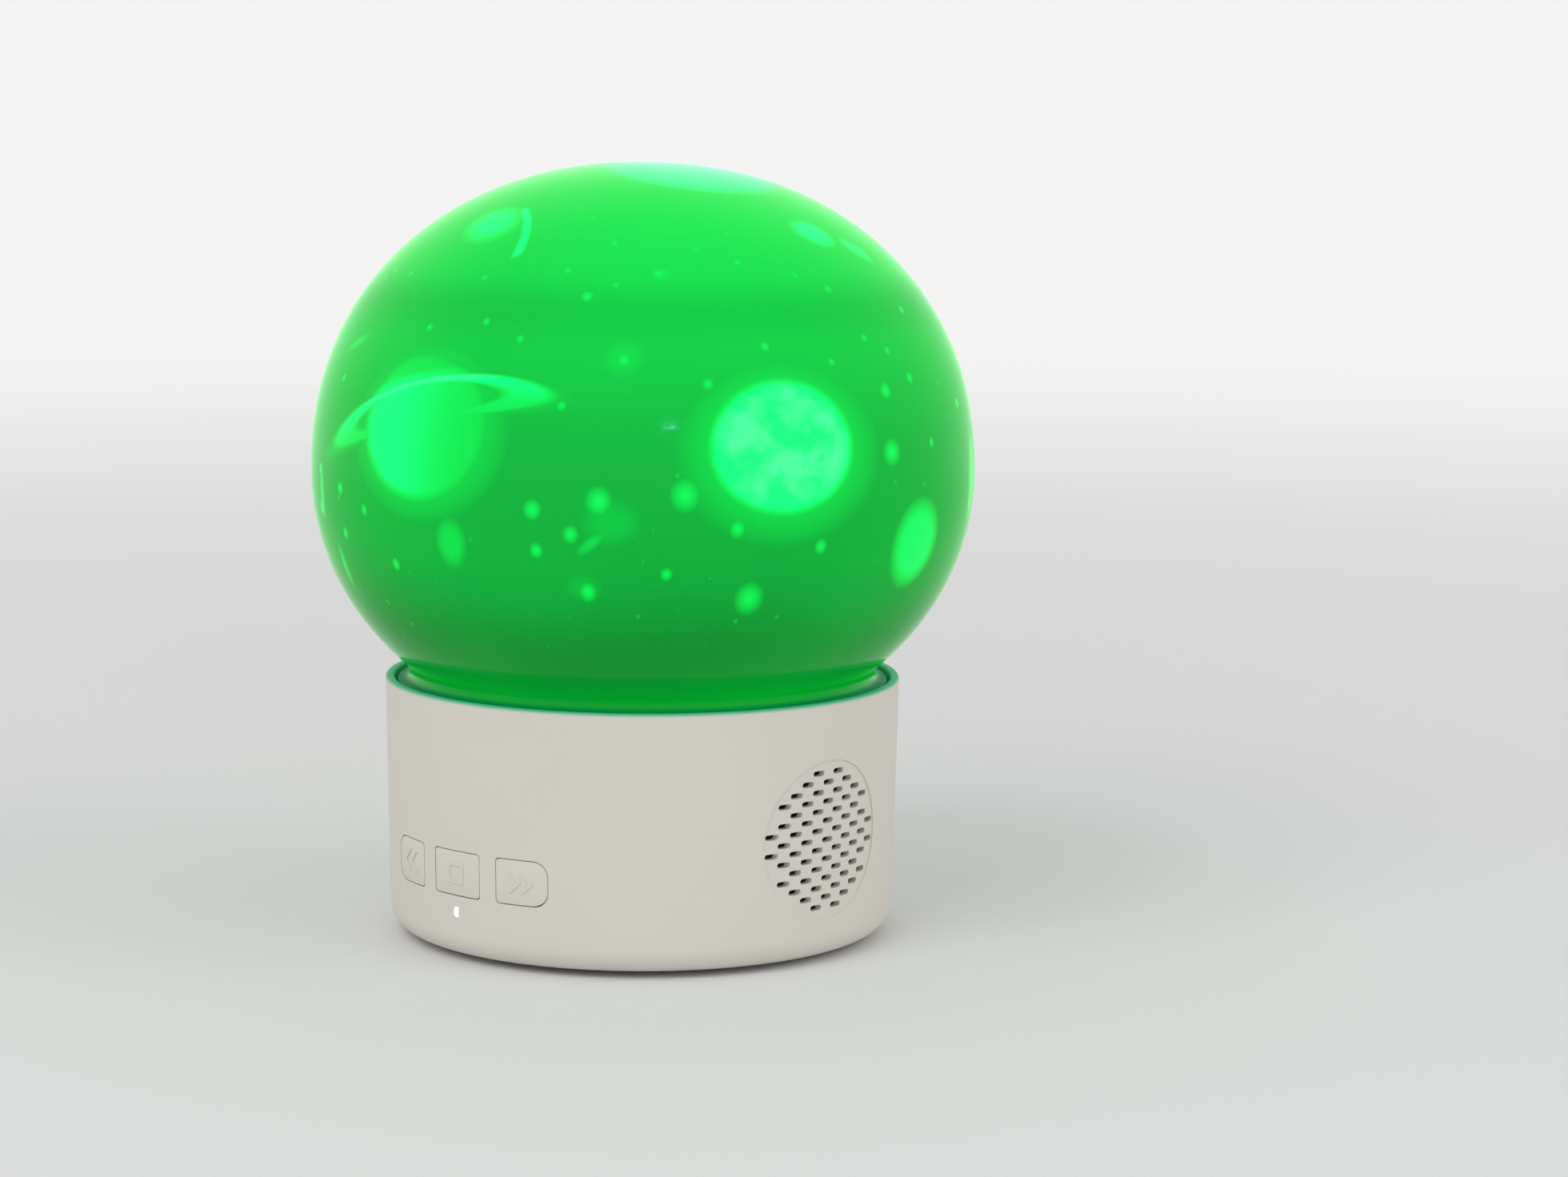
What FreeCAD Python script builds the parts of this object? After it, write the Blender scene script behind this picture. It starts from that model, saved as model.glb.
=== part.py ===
import FreeCAD, Part

import math
import os

import Sketcher
from FreeCAD import Placement, Rotation, Vector

# A star projector night light: a milky dome lifts off a round base that holds a loudspeaker,
# three buttons, a rechargeable cell and a lamp on a post, round which a printed film turns.
# Millimetres. +Z is up, the buttons face -Y, the loudspeaker faces +X, the charging inlet +Y.
# The origin is the centre of the circle that the base rests on.

document = FreeCAD.newDocument("star_projector")
sheet = document.addObject("Spreadsheet::Sheet", "sizes")

DRIVING_SIZES = [
    # housing
    ("rim_radius", 52.6),
    ("rim_rise", 2.4),
    ("foot_radius", 51.6),
    ("base_lift", 1.2),
    ("shell_wall", 1.8),
    ("bottom_round", 5.0),
    ("rim_round", 0.5),
    ("shelf_width", 2.0),
    ("shelf_thickness", 1.6),
    ("cover_seat_width", 3.0),
    ("cover_seat_thickness", 1.6),
    ("cover_boss_inset", 3.4),
    ("cover_boss_radius", 3.0),
    ("cover_boss_height", 8.0),
    ("column_radius", 3.2),
    ("column_length", 12.0),
    ("fit_gap", 0.2),
    # bottom cover and feet
    ("cover_inset", 9.6),
    ("cover_thickness", 2.0),
    ("foot_pad_radius", 5.0),
    ("foot_pad_inset", 10.0),
    ("foot_recess", 0.6),
    ("foot_edge", 0.4),
    # screws
    ("screw_radius", 1.0),
    ("screw_head_radius", 2.1),
    ("screw_head_height", 1.2),
    ("thread_gap", 0.05),
    ("cross_width", 0.5),
    ("cross_depth", 0.7),
    # deck
    ("ledge_height", 50.6),
    ("ledge_thickness", 1.6),
    ("deck_gap", 0.3),
    ("pan_inset", 6.2),
    ("pan_wall", 1.6),
    ("pan_depth", 8.6),
    ("floor_thickness", 1.6),
    ("post_radius", 9.0),
    ("post_bore_radius", 6.6),
    ("post_rise", 6.4),
    ("clip_groove_depth", 0.6),
    # lamp on the post
    ("sink_flange_thickness", 1.5),
    ("sink_plug_length", 8.0),
    ("lamp_board_thickness", 1.6),
    ("lamp_screw_circle", 7.8),
    ("lamp_screw_radius", 0.8),
    ("lamp_screw_length", 6.5),
    ("emitter_width", 5.0),
    ("emitter_base_height", 0.8),
    ("emitter_lens_radius", 2.2),
    # turntable and its drive
    ("running_gap", 0.06),
    ("washer_thickness", 0.6),
    ("washer_radius", 12.4),
    ("hub_radius", 12.5),
    ("hub_height", 5.8),
    ("table_gap", 1.5),
    ("table_rise", 2.8),
    ("table_thickness", 2.0),
    ("film_wall_height", 3.0),
    ("film_wall_thickness", 1.2),
    ("film_groove_floor", 0.4),
    ("clip_thickness", 0.7),
    ("clip_play", 0.25),
    ("clip_radius", 11.2),
    ("clip_opening", 5.0),
    ("tooth_module", 0.8),
    ("table_teeth", 50),
    ("pinion_teeth", 12),
    ("tooth_addendum", 0.6),
    ("tooth_dedendum", 0.8),
    ("tooth_backlash", 0.12),
    ("gear_rise", 0.8),
    ("pinion_thickness", 2.0),
    ("pinion_gap", 0.3),
    ("motor_radius", 12.0),
    ("motor_length", 17.0),
    ("motor_shaft_radius", 1.5),
    ("motor_boss_radius", 3.3),
    ("motor_boss_height", 1.4),
    ("motor_ear_width", 7.0),
    ("motor_ear_thickness", 1.0),
    ("motor_screw_reach", 15.0),
    ("motor_ear_reach", 17.8),
    ("motor_screw_length", 6.0),
    # film and its cap
    ("film_radius", 29.9),
    ("film_thickness", 0.4),
    ("film_height", 53.6),
    ("cap_width", 4.3),
    ("cap_web_thickness", 1.0),
    ("cap_skirt_height", 1.2),
    ("cap_rim_height", 0.8),
    ("cap_wall_thickness", 1.0),
    # shade
    ("dome_overhang", 16.7),
    ("dome_rise", 44.9),
    ("dome_upper_height", 61.9),
    ("dome_lower_height", 56.6),
    ("dome_upper_power", 2.128),
    ("dome_lower_power", 2.036),
    ("shade_wall", 1.6),
    ("flange_width", 2.6),
    ("waist_rise", 4.2),
    ("flange_gap", 0.6),
    ("flange_thickness", 1.8),
    ("flange_edge", 0.5),
    # buttons
    ("button_low", 13.9),
    ("button_high", 23.1),
    ("middle_button_reach", 6.46),
    ("side_button_inner", 10.3),
    ("side_button_outer", 21.5),
    ("small_round", 0.8),
    ("large_round", 3.0),
    ("button_gap", 0.2),
    ("button_skin", 2.6),
    ("button_lip", 0.8),
    ("button_lip_thickness", 1.0),
    ("button_lip_gap", 0.15),
    ("stem_radius", 1.6),
    ("sign_rise", 0.25),
    ("sign_stroke", 0.6),
    ("sign_width", 4.2),
    ("chevron_width", 2.0),
    ("chevron_pitch", 2.6),
    # switches and indicator light
    ("switch_board_inset", 13.0),
    ("switch_board_thickness", 1.6),
    ("switch_board_reach", 20.5),
    ("switch_board_low", 5.0),
    ("switch_board_high", 24.0),
    ("switch_width", 6.0),
    ("switch_height", 3.5),
    ("plunger_radius", 1.75),
    ("plunger_rise", 1.3),
    ("plunger_root", 1.0),
    ("plunger_room", 0.8),
    ("light_height", 10.7),
    ("light_pipe_radius", 1.0),
    ("light_collar_radius", 1.8),
    ("light_collar_thickness", 0.8),
    ("light_collar_gap", 0.2334),
    ("light_lamp_height", 1.0),
    ("light_lamp_width", 2.4),
    ("guide_width", 3.4),
    ("guide_overlap", 2.4),
    ("guide_top", 11.0),
    # loudspeaker
    ("speaker_headroom", 0.5),
    ("speaker_radius", 16.0),
    ("speaker_inset", 6.6),
    ("gasket_thickness", 0.5),
    ("gasket_width", 2.1),
    ("seat_ring_wall", 1.9),
    ("basket_rim_thickness", 1.2),
    ("basket_depth", 8.0),
    ("basket_back_radius", 10.6),
    ("basket_wall", 1.0),
    ("magnet_radius", 10.5),
    ("magnet_bore_radius", 5.0),
    ("magnet_thickness", 4.5),
    ("yoke_thickness", 1.5),
    ("pole_radius", 3.2),
    ("coil_radius", 3.9),
    ("coil_wall", 0.35),
    ("coil_length", 5.6),
    ("cone_radius", 11.2),
    ("cone_wall", 0.5),
    ("surround_width", 1.9),
    ("speaker_screw_circle", 18.2),
    ("speaker_screw_head_radius", 3.0),
    ("speaker_boss_radius", 1.9),
    ("patch_radius", 16.0),
    ("patch_depth", 0.25),
    ("slot_length", 3.0),
    ("slot_width", 1.15),
    ("slot_column_pitch", 2.8),
    ("slot_row_pitch", 1.93),
    # main board, its cell and the charging inlet
    ("board_height", 11.0),
    ("board_thickness", 1.6),
    ("board_boss_gap", 1.6),
    ("speaker_room", 3.0),
    ("board_tab_inset", 2.6),
    ("board_tab_half_width", 7.0),
    ("board_front_half_width", 10.0),
    ("board_post_inset_x", 16.0),
    ("board_post_inset_y", 9.0),
    ("board_post_radius", 2.6),
    ("cell_length", 50.0),
    ("cell_width", 34.0),
    ("cell_thickness", 6.0),
    ("cell_centre", -5.0),
    ("cell_edge", 2.0),
    ("tape_thickness", 0.5),
    ("socket_length", 6.0),
    ("socket_width", 6.0),
    ("socket_height", 5.0),
    ("header_width", 15.0),
    ("header_depth", 2.4),
    ("header_height", 2.5),
    ("usb_inset", 0.8515),
    ("usb_length", 7.35),
    ("usb_half_width", 4.47),
    ("usb_thickness", 3.26),
    ("usb_wall", 0.3),
    ("usb_window_gap", 0.35),
    ("usb_tongue_half_width", 3.3),
    ("usb_tongue_thickness", 0.7),
    ("usb_tongue_inset", 0.8),
    ("usb_root_length", 1.5),
    ("wire_radius", 0.5),
    ("wire_pitch", 1.5),
]

for row, (alias, number) in enumerate(DRIVING_SIZES, start=1):
    sheet.set(f"A{row}", alias)
    sheet.set(f"B{row}", str(number))
    sheet.setAlias(f"B{row}", alias)
document.recompute()

# Levels and radii that several pieces share, each worked out from the sheet.

COVER_TOP = "(sizes.base_lift + sizes.cover_thickness)"
COVER_RADIUS = "(sizes.foot_radius - sizes.cover_inset)"
COVER_BOSS_CIRCLE = f"({COVER_RADIUS} - sizes.cover_boss_inset)"
FOOT_PAD_CIRCLE = f"({COVER_RADIUS} - sizes.foot_pad_inset)"
SHELL_FLOOR = "(sizes.base_lift + sizes.shell_wall)"
RIM_INNER = "(sizes.rim_radius - sizes.shell_wall)"
FOOT_INNER = "(sizes.foot_radius - sizes.shell_wall)"
RIM_HEIGHT = "(sizes.ledge_height + sizes.rim_rise)"
NARROW_RADIUS = "min(sizes.foot_radius; sizes.rim_radius)"
BEYOND_WALL = "(max(sizes.foot_radius; sizes.rim_radius) + sizes.shell_wall)"
LEDGE_UNDER = "(sizes.ledge_height - sizes.ledge_thickness)"
PAN_RADIUS = f"({RIM_INNER} - sizes.pan_inset)"
PAN_UNDER = "(sizes.ledge_height - sizes.pan_depth)"
COLUMN_CIRCLE = f"({PAN_RADIUS} + sizes.fit_gap + sizes.column_radius)"
POST_TOP = "(sizes.ledge_height + sizes.post_rise)"
PAN_FLOOR = f"({PAN_UNDER} + sizes.floor_thickness)"
HUB_UNDER = f"({PAN_FLOOR} + sizes.washer_thickness)"
HUB_TOP = f"({HUB_UNDER} + sizes.hub_height)"
TABLE_RADIUS = f"({PAN_RADIUS} - sizes.pan_wall - sizes.table_gap)"
TABLE_UNDER = f"({PAN_FLOOR} + sizes.table_rise)"
TABLE_TOP = f"({TABLE_UNDER} + sizes.table_thickness)"
FILM_UNDER = f"({TABLE_TOP} + sizes.film_groove_floor)"
FILM_TOP = f"({FILM_UNDER} + sizes.film_height)"
FILM_INNER = "(sizes.film_radius - sizes.film_thickness / 2)"
FILM_OUTER = "(sizes.film_radius + sizes.film_thickness / 2)"
CLIP_UNDER = f"({HUB_TOP} + sizes.clip_play)"
SINK_TOP = f"({POST_TOP} + sizes.sink_flange_thickness)"
LAMP_BOARD_TOP = f"({SINK_TOP} + sizes.lamp_board_thickness)"
DOME_RADIUS = f"({RIM_INNER} + sizes.dome_overhang)"
DOME_CENTRE = "(sizes.ledge_height + sizes.dome_rise)"
FLANGE_RADIUS = f"({RIM_INNER} - sizes.flange_gap)"
WAIST_RADIUS = f"({FLANGE_RADIUS} - sizes.flange_width)"
WAIST_HEIGHT = "(sizes.ledge_height + sizes.waist_rise)"
BUTTON_MIDDLE = "((sizes.button_low + sizes.button_high) / 2)"
SIDE_BUTTON_MIDDLE = "((sizes.side_button_inner + sizes.side_button_outer) / 2)"
SWITCH_BOARD_BACK = f"({NARROW_RADIUS} - sizes.switch_board_inset)"
SWITCH_BOARD_FRONT = f"({SWITCH_BOARD_BACK} + sizes.switch_board_thickness)"
SWITCH_FRONT = f"({SWITCH_BOARD_FRONT} + sizes.switch_height)"
PLUNGER_FRONT = f"({SWITCH_FRONT} + sizes.plunger_rise)"
BOARD_TOP = "(sizes.board_height + sizes.board_thickness)"
MOTOR_X = "(-(sizes.table_teeth + sizes.pinion_teeth) * sizes.tooth_module / 2)"
SPEAKER_FACE = f"({NARROW_RADIUS} - sizes.speaker_inset)"
SPEAKER_HEIGHT = f"({PAN_UNDER} - sizes.speaker_radius - sizes.speaker_headroom)"
MAGNET_FRONT = "sizes.basket_depth"
MAGNET_BACK = "(sizes.basket_depth + sizes.magnet_thickness)"
YOKE_BACK = f"({MAGNET_BACK} + sizes.yoke_thickness)"
BOARD_RADIUS = f"({COVER_BOSS_CIRCLE} - sizes.cover_boss_radius - sizes.board_boss_gap)"
BOARD_EDGE = f"({SPEAKER_FACE} - {YOKE_BACK} - sizes.speaker_room)"
BOARD_FRONT_REACH = f"({SWITCH_BOARD_BACK} - sizes.fit_gap)"
BOARD_POST_X = f"({BOARD_RADIUS} - sizes.board_post_inset_x)"
BOARD_POST_Y = f"({BOARD_RADIUS} - sizes.board_post_inset_y)"
USB_MIDDLE = f"({BOARD_TOP} + sizes.usb_thickness / 2)"
PIN_GAP = "sizes.thread_gap"


def wall_at(height):
    """The radius of the base's drafted outer wall at a height, as an expression."""
    share = f"(({height}) - sizes.base_lift) / ({RIM_HEIGHT} - sizes.base_lift)"
    return f"(sizes.foot_radius + (sizes.rim_radius - sizes.foot_radius) * {share})"


USB_FRONT = f"({wall_at(USB_MIDDLE)} - sizes.usb_inset)"
BOARD_TAB_REACH = f"({USB_FRONT} - sizes.board_tab_inset)"

QUARTER_TURNS = (45, 135, 225, 315)
SQUARE_TURNS = (0, 90, 180, 270)

TURNED = {
    "+Z": Rotation(),
    "-Z": Rotation(Vector(1, 0, 0), 180),
    "+X": Rotation(Vector(0, 1, 0), 90),
    "-X": Rotation(Vector(0, 1, 0), -90),
    "-Y": Rotation(Vector(1, 0, 0), 90),
}

pieces = []


def value(expression):
    """The number that an expression on the sheet gives."""
    return float(sheet.evalExpression(expression))


def piece(item, name):
    """Name an object as one sub-part of the lamp."""
    item.Label = name
    pieces.append(item)
    return item


def place(item, at, facing="+Z"):
    """Stand an object at a place given as three expressions, its own +Z turned to face a direction."""
    item.Placement = Placement(Vector(), TURNED[facing])
    for axis, expression in zip("xyz", at):
        item.setExpression(f"Placement.Base.{axis}", expression)
    return item


def cylinder(name, radius, height, at=("0", "0", "0"), facing="+Z"):
    item = document.addObject("Part::Cylinder", name)
    item.setExpression("Radius", radius)
    item.setExpression("Height", height)
    return place(item, at, facing)


def cone(name, low_radius, high_radius, height, at=("0", "0", "0"), facing="+Z"):
    item = document.addObject("Part::Cone", name)
    item.setExpression("Radius1", low_radius)
    item.setExpression("Radius2", high_radius)
    item.setExpression("Height", height)
    return place(item, at, facing)


def box(name, low, high):
    """A box between two corners, each three expressions."""
    item = document.addObject("Part::Box", name)
    for side, start, end in zip(("Length", "Width", "Height"), low, high):
        item.setExpression(side, f"({end}) - ({start})")
    return place(item, low)


def fuse(name, *items):
    item = document.addObject("Part::MultiFuse", name)
    item.Shapes = list(items)
    item.Refine = True
    return item


def cut(name, base, *tools):
    item = document.addObject("Part::Cut", name)
    item.Base = base
    item.Tool = tools[0] if len(tools) == 1 else group(name + "_tools", *tools)
    item.Refine = True
    return item


def common(name, first, second):
    item = document.addObject("Part::Common", name)
    item.Base = first
    item.Tool = second
    return item


def group(name, *items):
    """Separate solids kept together in one object."""
    item = document.addObject("Part::Compound", name)
    item.Links = list(items)
    return item


def formed(name, shape):
    """An object whose shape is worked out here from the sheet's numbers."""
    item = document.addObject("Part::Feature", name)
    item.Shape = shape
    return item


def on_circle(circle, turn):
    """Two expressions for the point of a circle at a turn in degrees."""
    return f"{circle} * cos({turn} deg)", f"{circle} * sin({turn} deg)"


def new_body(name, at=("0", "0", "0"), facing="+Z"):
    body = document.addObject("PartDesign::Body", name)
    return place(body, at, facing)


def new_sketch(body, name, plane="XZ_Plane", offset="0"):
    """A sketch on one of the body's own origin planes, moved along the plane's normal."""
    sketch = body.newObject("Sketcher::SketchObject", name)
    support = [item for item in body.Origin.OriginFeatures if item.Role == plane][0]
    sketch.AttachmentSupport = [(support, "")]
    sketch.MapMode = "FlatFace"
    sketch.setExpression("AttachmentOffset.Base.z", offset)
    return sketch


def draw_outline(sketch, points):
    """A closed outline of straight lines whose corners are tied to pairs of expressions."""
    corners = [Vector(value(across), value(up), 0) for across, up in points]
    first = sketch.GeometryCount
    for index, corner in enumerate(corners):
        sketch.addGeometry(Part.LineSegment(corner, corners[(index + 1) % len(corners)]))
    for index, (across, up) in enumerate(points):
        line = first + index
        following = first + (index + 1) % len(points)
        sketch.addConstraint(Sketcher.Constraint("Coincident", line, 2, following, 1))
        tie(sketch, Sketcher.Constraint("DistanceX", -1, 1, line, 1, value(across)), across)
        tie(sketch, Sketcher.Constraint("DistanceY", -1, 1, line, 1, value(up)), up)


def draw_circle(sketch, across, up, radius):
    centre = Vector(value(across), value(up), 0)
    ring = sketch.addGeometry(Part.Circle(centre, Vector(0, 0, 1), value(radius)))
    tie(sketch, Sketcher.Constraint("DistanceX", -1, 1, ring, 3, centre.x), across)
    tie(sketch, Sketcher.Constraint("DistanceY", -1, 1, ring, 3, centre.y), up)
    tie(sketch, Sketcher.Constraint("Radius", ring, value(radius)), radius)


def draw_window(sketch, left, right, low, high, left_round, right_round):
    """A rectangle with rounded corners, one radius for the left pair and one for the right pair."""
    west, east, south, north = value(left), value(right), value(low), value(high)
    rounds = [value(left_round), value(right_round), value(right_round), value(left_round)]
    corners = [(west, south), (east, south), (east, north), (west, north)]
    first = sketch.GeometryCount
    for index, (across, up) in enumerate(corners):
        near, far = rounds[index], rounds[(index + 1) % 4]
        ahead = corners[(index + 1) % 4]
        along = Vector(ahead[0] - across, ahead[1] - up, 0).normalize()
        start = Vector(across, up, 0) + along * near
        end = Vector(ahead[0], ahead[1], 0) - along * far
        sketch.addGeometry(Part.LineSegment(start, end))
    for index, (across, up) in enumerate(corners):
        radius = rounds[index]
        inward = Vector(
            math.copysign(1, (west + east) / 2 - across), math.copysign(1, (south + north) / 2 - up), 0)
        centre = Vector(across, up, 0) + inward * radius
        opening = (180 + 90 * index) * math.pi / 180
        circle = Part.Circle(centre, Vector(0, 0, 1), radius)
        sketch.addGeometry(Part.ArcOfCircle(circle, opening, opening + math.pi / 2))
    for index in range(4):
        line = first + index
        arc = first + 4 + index
        sketch.addConstraint(Sketcher.Constraint("Tangent", arc, 2, line, 1))
        sketch.addConstraint(Sketcher.Constraint("Tangent", first + (index + 3) % 4, 2, arc, 1))
        sketch.addConstraint(Sketcher.Constraint("Horizontal" if index % 2 == 0 else "Vertical", line))
        corner_round = (left_round, right_round, right_round, left_round)[index]
        tie(sketch, Sketcher.Constraint("Radius", arc, rounds[index]), corner_round)
    tie(sketch, Sketcher.Constraint("DistanceX", -1, 1, first + 1, 1, east), right)
    tie(sketch, Sketcher.Constraint("DistanceX", -1, 1, first + 3, 1, west), left)
    tie(sketch, Sketcher.Constraint("DistanceY", -1, 1, first, 1, south), low)
    tie(sketch, Sketcher.Constraint("DistanceY", -1, 1, first + 2, 1, north), high)


def tie(sketch, constraint, expression):
    index = sketch.addConstraint(constraint)
    sketch.setExpression(f"Constraints[{index}]", expression)


def revolved(name, points, at=("0", "0", "0"), facing="+Z"):
    """A body turned about its own Z axis from an outline of radii and heights."""
    body = new_body(name, at, facing)
    sketch = new_sketch(body, name + "_outline")
    draw_outline(sketch, points)
    turning = body.newObject("PartDesign::Revolution", name + "_turned")
    turning.Profile = sketch
    turning.ReferenceAxis = (sketch, ["V_Axis"])
    turning.Angle = 360
    body.Tip = turning
    return body


def round_rings(body, radius, places):
    """Round the circular edges that lie at the given radii and heights."""
    document.recompute()
    base = body.Tip
    names = []
    for across, up in places:
        for number, edge in enumerate(base.Shape.Edges, start=1):
            if not isinstance(edge.Curve, Part.Circle):
                continue
            off_radius = abs(edge.Curve.Radius - value(across))
            off_height = abs(edge.Curve.Center.z - value(up))
            if off_radius < 0.01 and off_height < 0.01:
                names.append(f"Edge{number}")
    fillet = body.newObject("PartDesign::Fillet", body.Name + "_round")
    fillet.Base = (base, names)
    fillet.setExpression("Radius", radius)
    body.Tip = fillet


def padded(body, sketch, length, reverse=False):
    pad = body.newObject("PartDesign::Pad", sketch.Name + "_pad")
    pad.Profile = sketch
    pad.setExpression("Length", length)
    pad.Reversed = reverse
    body.Tip = pad
    return pad


def pocketed(body, sketch, length, reverse=False):
    pocket = body.newObject("PartDesign::Pocket", sketch.Name + "_pocket")
    pocket.Profile = sketch
    pocket.setExpression("Length", length)
    pocket.Reversed = reverse
    body.Tip = pocket
    return pocket


def four_fold(body, feature, sketch):
    """Repeat a feature at quarter turns about the body's Z axis."""
    pattern = body.newObject("PartDesign::PolarPattern", feature.Name + "_ring")
    pattern.Originals = [feature]
    pattern.Axis = (sketch, ["N_Axis"])
    pattern.Angle = 360
    pattern.Occurrences = 4
    body.Tip = pattern


def window_block(name, sides, rounds, front, depth):
    """A block with the outline of a rounded window, from the plane y = -front towards -Y."""
    body = new_body(name)
    sketch = new_sketch(body, name + "_outline", "XZ_Plane", front)
    draw_window(sketch, *sides, *rounds)
    padded(body, sketch, depth)
    return body


def skin_layer(name, outer_offset, inner_offset):
    """The layer of the base's drafted side wall between two offsets from its outer surface."""
    height = f"{RIM_HEIGHT} - sizes.base_lift"
    solids = []
    for side, offset in (("outer", outer_offset), ("inner", inner_offset)):
        foot = f"sizes.foot_radius + ({offset})"
        rim = f"sizes.rim_radius + ({offset})"
        solids.append(cone(f"{name}_{side}", foot, rim, height, ("0", "0", "sizes.base_lift")))
    return cut(name, *solids)


def screw(name, at, facing, length, radius="sizes.screw_radius", head="sizes.screw_head_radius"):
    """A pan-head screw with a cross recess: its head stands on `at` and its shank runs the other way."""
    height = "sizes.screw_head_height"
    local_head = cylinder(name + "_head", head, height)
    local_shank = cylinder(name + "_shank", radius, length, ("0", "0", f"-({length})"))
    recess_low = f"{height} - sizes.cross_depth"
    arms = []
    for along, across in (("0.6", "0"), ("0", "0.6")):
        reach_x = f"{head} * {along} + sizes.cross_width / 2"
        reach_y = f"{head} * {across} + sizes.cross_width / 2"
        low = (f"-({reach_x})", f"-({reach_y})", recess_low)
        high = (reach_x, reach_y, f"{height} + 0.1")
        arms.append(box(name + "_arm", low, high))
    whole = cut(name, fuse(name + "_blank", local_head, local_shank), *arms)
    return place(whole, at, facing)


# Housing: the drum-shaped shell of the base with its drafted wall, the shelf that carries the deck,
# the seat of the bottom cover, screw bosses, the seat of the loudspeaker and all the windows.

housing_shell = revolved("housing_shell", [
    (f"{COVER_RADIUS} + sizes.fit_gap", "sizes.base_lift"),
    ("sizes.foot_radius", "sizes.base_lift"),
    ("sizes.rim_radius", RIM_HEIGHT),
    (RIM_INNER, RIM_HEIGHT),
    (RIM_INNER, LEDGE_UNDER),
    (f"{RIM_INNER} - sizes.shelf_width", LEDGE_UNDER),
    (f"{RIM_INNER} - sizes.shelf_width", f"{LEDGE_UNDER} - sizes.shelf_thickness"),
    (RIM_INNER, f"{LEDGE_UNDER} - sizes.shelf_thickness"),
    (FOOT_INNER, SHELL_FLOOR),
    (f"{COVER_RADIUS} + sizes.fit_gap + sizes.cover_seat_thickness", SHELL_FLOOR),
    (f"{COVER_RADIUS} + sizes.fit_gap + sizes.cover_seat_thickness",
     f"{COVER_TOP} + sizes.cover_seat_thickness"),
    (f"{COVER_RADIUS} - sizes.cover_seat_width", f"{COVER_TOP} + sizes.cover_seat_thickness"),
    (f"{COVER_RADIUS} - sizes.cover_seat_width", COVER_TOP),
    (f"{COVER_RADIUS} + sizes.fit_gap", COVER_TOP),
])
round_rings(housing_shell, "sizes.bottom_round", [("sizes.foot_radius", "sizes.base_lift")])
round_rings(housing_shell, "sizes.bottom_round - sizes.shell_wall", [(FOOT_INNER, SHELL_FLOOR)])
round_rings(housing_shell, "sizes.rim_round", [
    ("sizes.rim_radius", RIM_HEIGHT),
    (RIM_INNER, RIM_HEIGHT),
])

wall_additions = []
for turn in QUARTER_TURNS:
    column_x, column_y = on_circle(COLUMN_CIRCLE, turn)
    column_low = f"{LEDGE_UNDER} - sizes.column_length"
    wall_additions.append(cylinder(
        "deck_column", "sizes.column_radius", "sizes.column_length", (column_x, column_y, column_low)))
seat_depth = f"{BEYOND_WALL} - {SPEAKER_FACE} - sizes.gasket_thickness"
seat_back = f"{SPEAKER_FACE} + sizes.gasket_thickness"
seat_outer = cylinder(
    "speaker_seat_outer", "sizes.speaker_radius + sizes.fit_gap", seat_depth,
    (seat_back, "0", SPEAKER_HEIGHT), "+X")
seat_inner = cylinder(
    "speaker_seat_inner", "sizes.speaker_radius - sizes.seat_ring_wall", seat_depth,
    (seat_back, "0", SPEAKER_HEIGHT), "+X")
wall_additions.append(cut("speaker_seat", seat_outer, seat_inner))
SPEAKER_BACK_OF_RIM = f"({SPEAKER_FACE} - sizes.basket_rim_thickness)"
speaker_screw_places = []
for turn in QUARTER_TURNS:
    across, up = on_circle("sizes.speaker_screw_circle", turn)
    speaker_screw_places.append((SPEAKER_BACK_OF_RIM, across, f"{SPEAKER_HEIGHT} + {up}"))
for at in speaker_screw_places:
    wall_additions.append(cylinder(
        "speaker_boss", "sizes.speaker_boss_radius", f"{BEYOND_WALL} - {SPEAKER_BACK_OF_RIM}", at, "+X"))
for side in (1, -1):
    near = f"{side} * (sizes.switch_board_reach - sizes.guide_overlap)"
    far = f"{side} * (sizes.switch_board_reach - sizes.guide_overlap + sizes.guide_width)"
    left, right = (near, far) if side > 0 else (far, near)
    wall_additions.append(box(
        "board_guide",
        (left, f"-{BEYOND_WALL}", COVER_TOP),
        (right, f"-({SWITCH_BOARD_BACK} - sizes.guide_overlap)", "sizes.guide_top")))
envelope = cone(
    "wall_envelope", "sizes.foot_radius - sizes.shell_wall / 2", "sizes.rim_radius - sizes.shell_wall / 2",
    f"{RIM_HEIGHT} - sizes.base_lift", ("0", "0", "sizes.base_lift"))
inner_parts = common("wall_parts", fuse("wall_parts_all", *wall_additions), envelope)
low_bosses = []
for turn in QUARTER_TURNS:
    boss_x, boss_y = on_circle(COVER_BOSS_CIRCLE, turn)
    low_bosses.append(cylinder(
        "cover_boss", "sizes.cover_boss_radius", "sizes.cover_boss_height", (boss_x, boss_y, COVER_TOP)))
housing_blank = fuse("housing_blank", housing_shell, inner_parts, *low_bosses)

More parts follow.
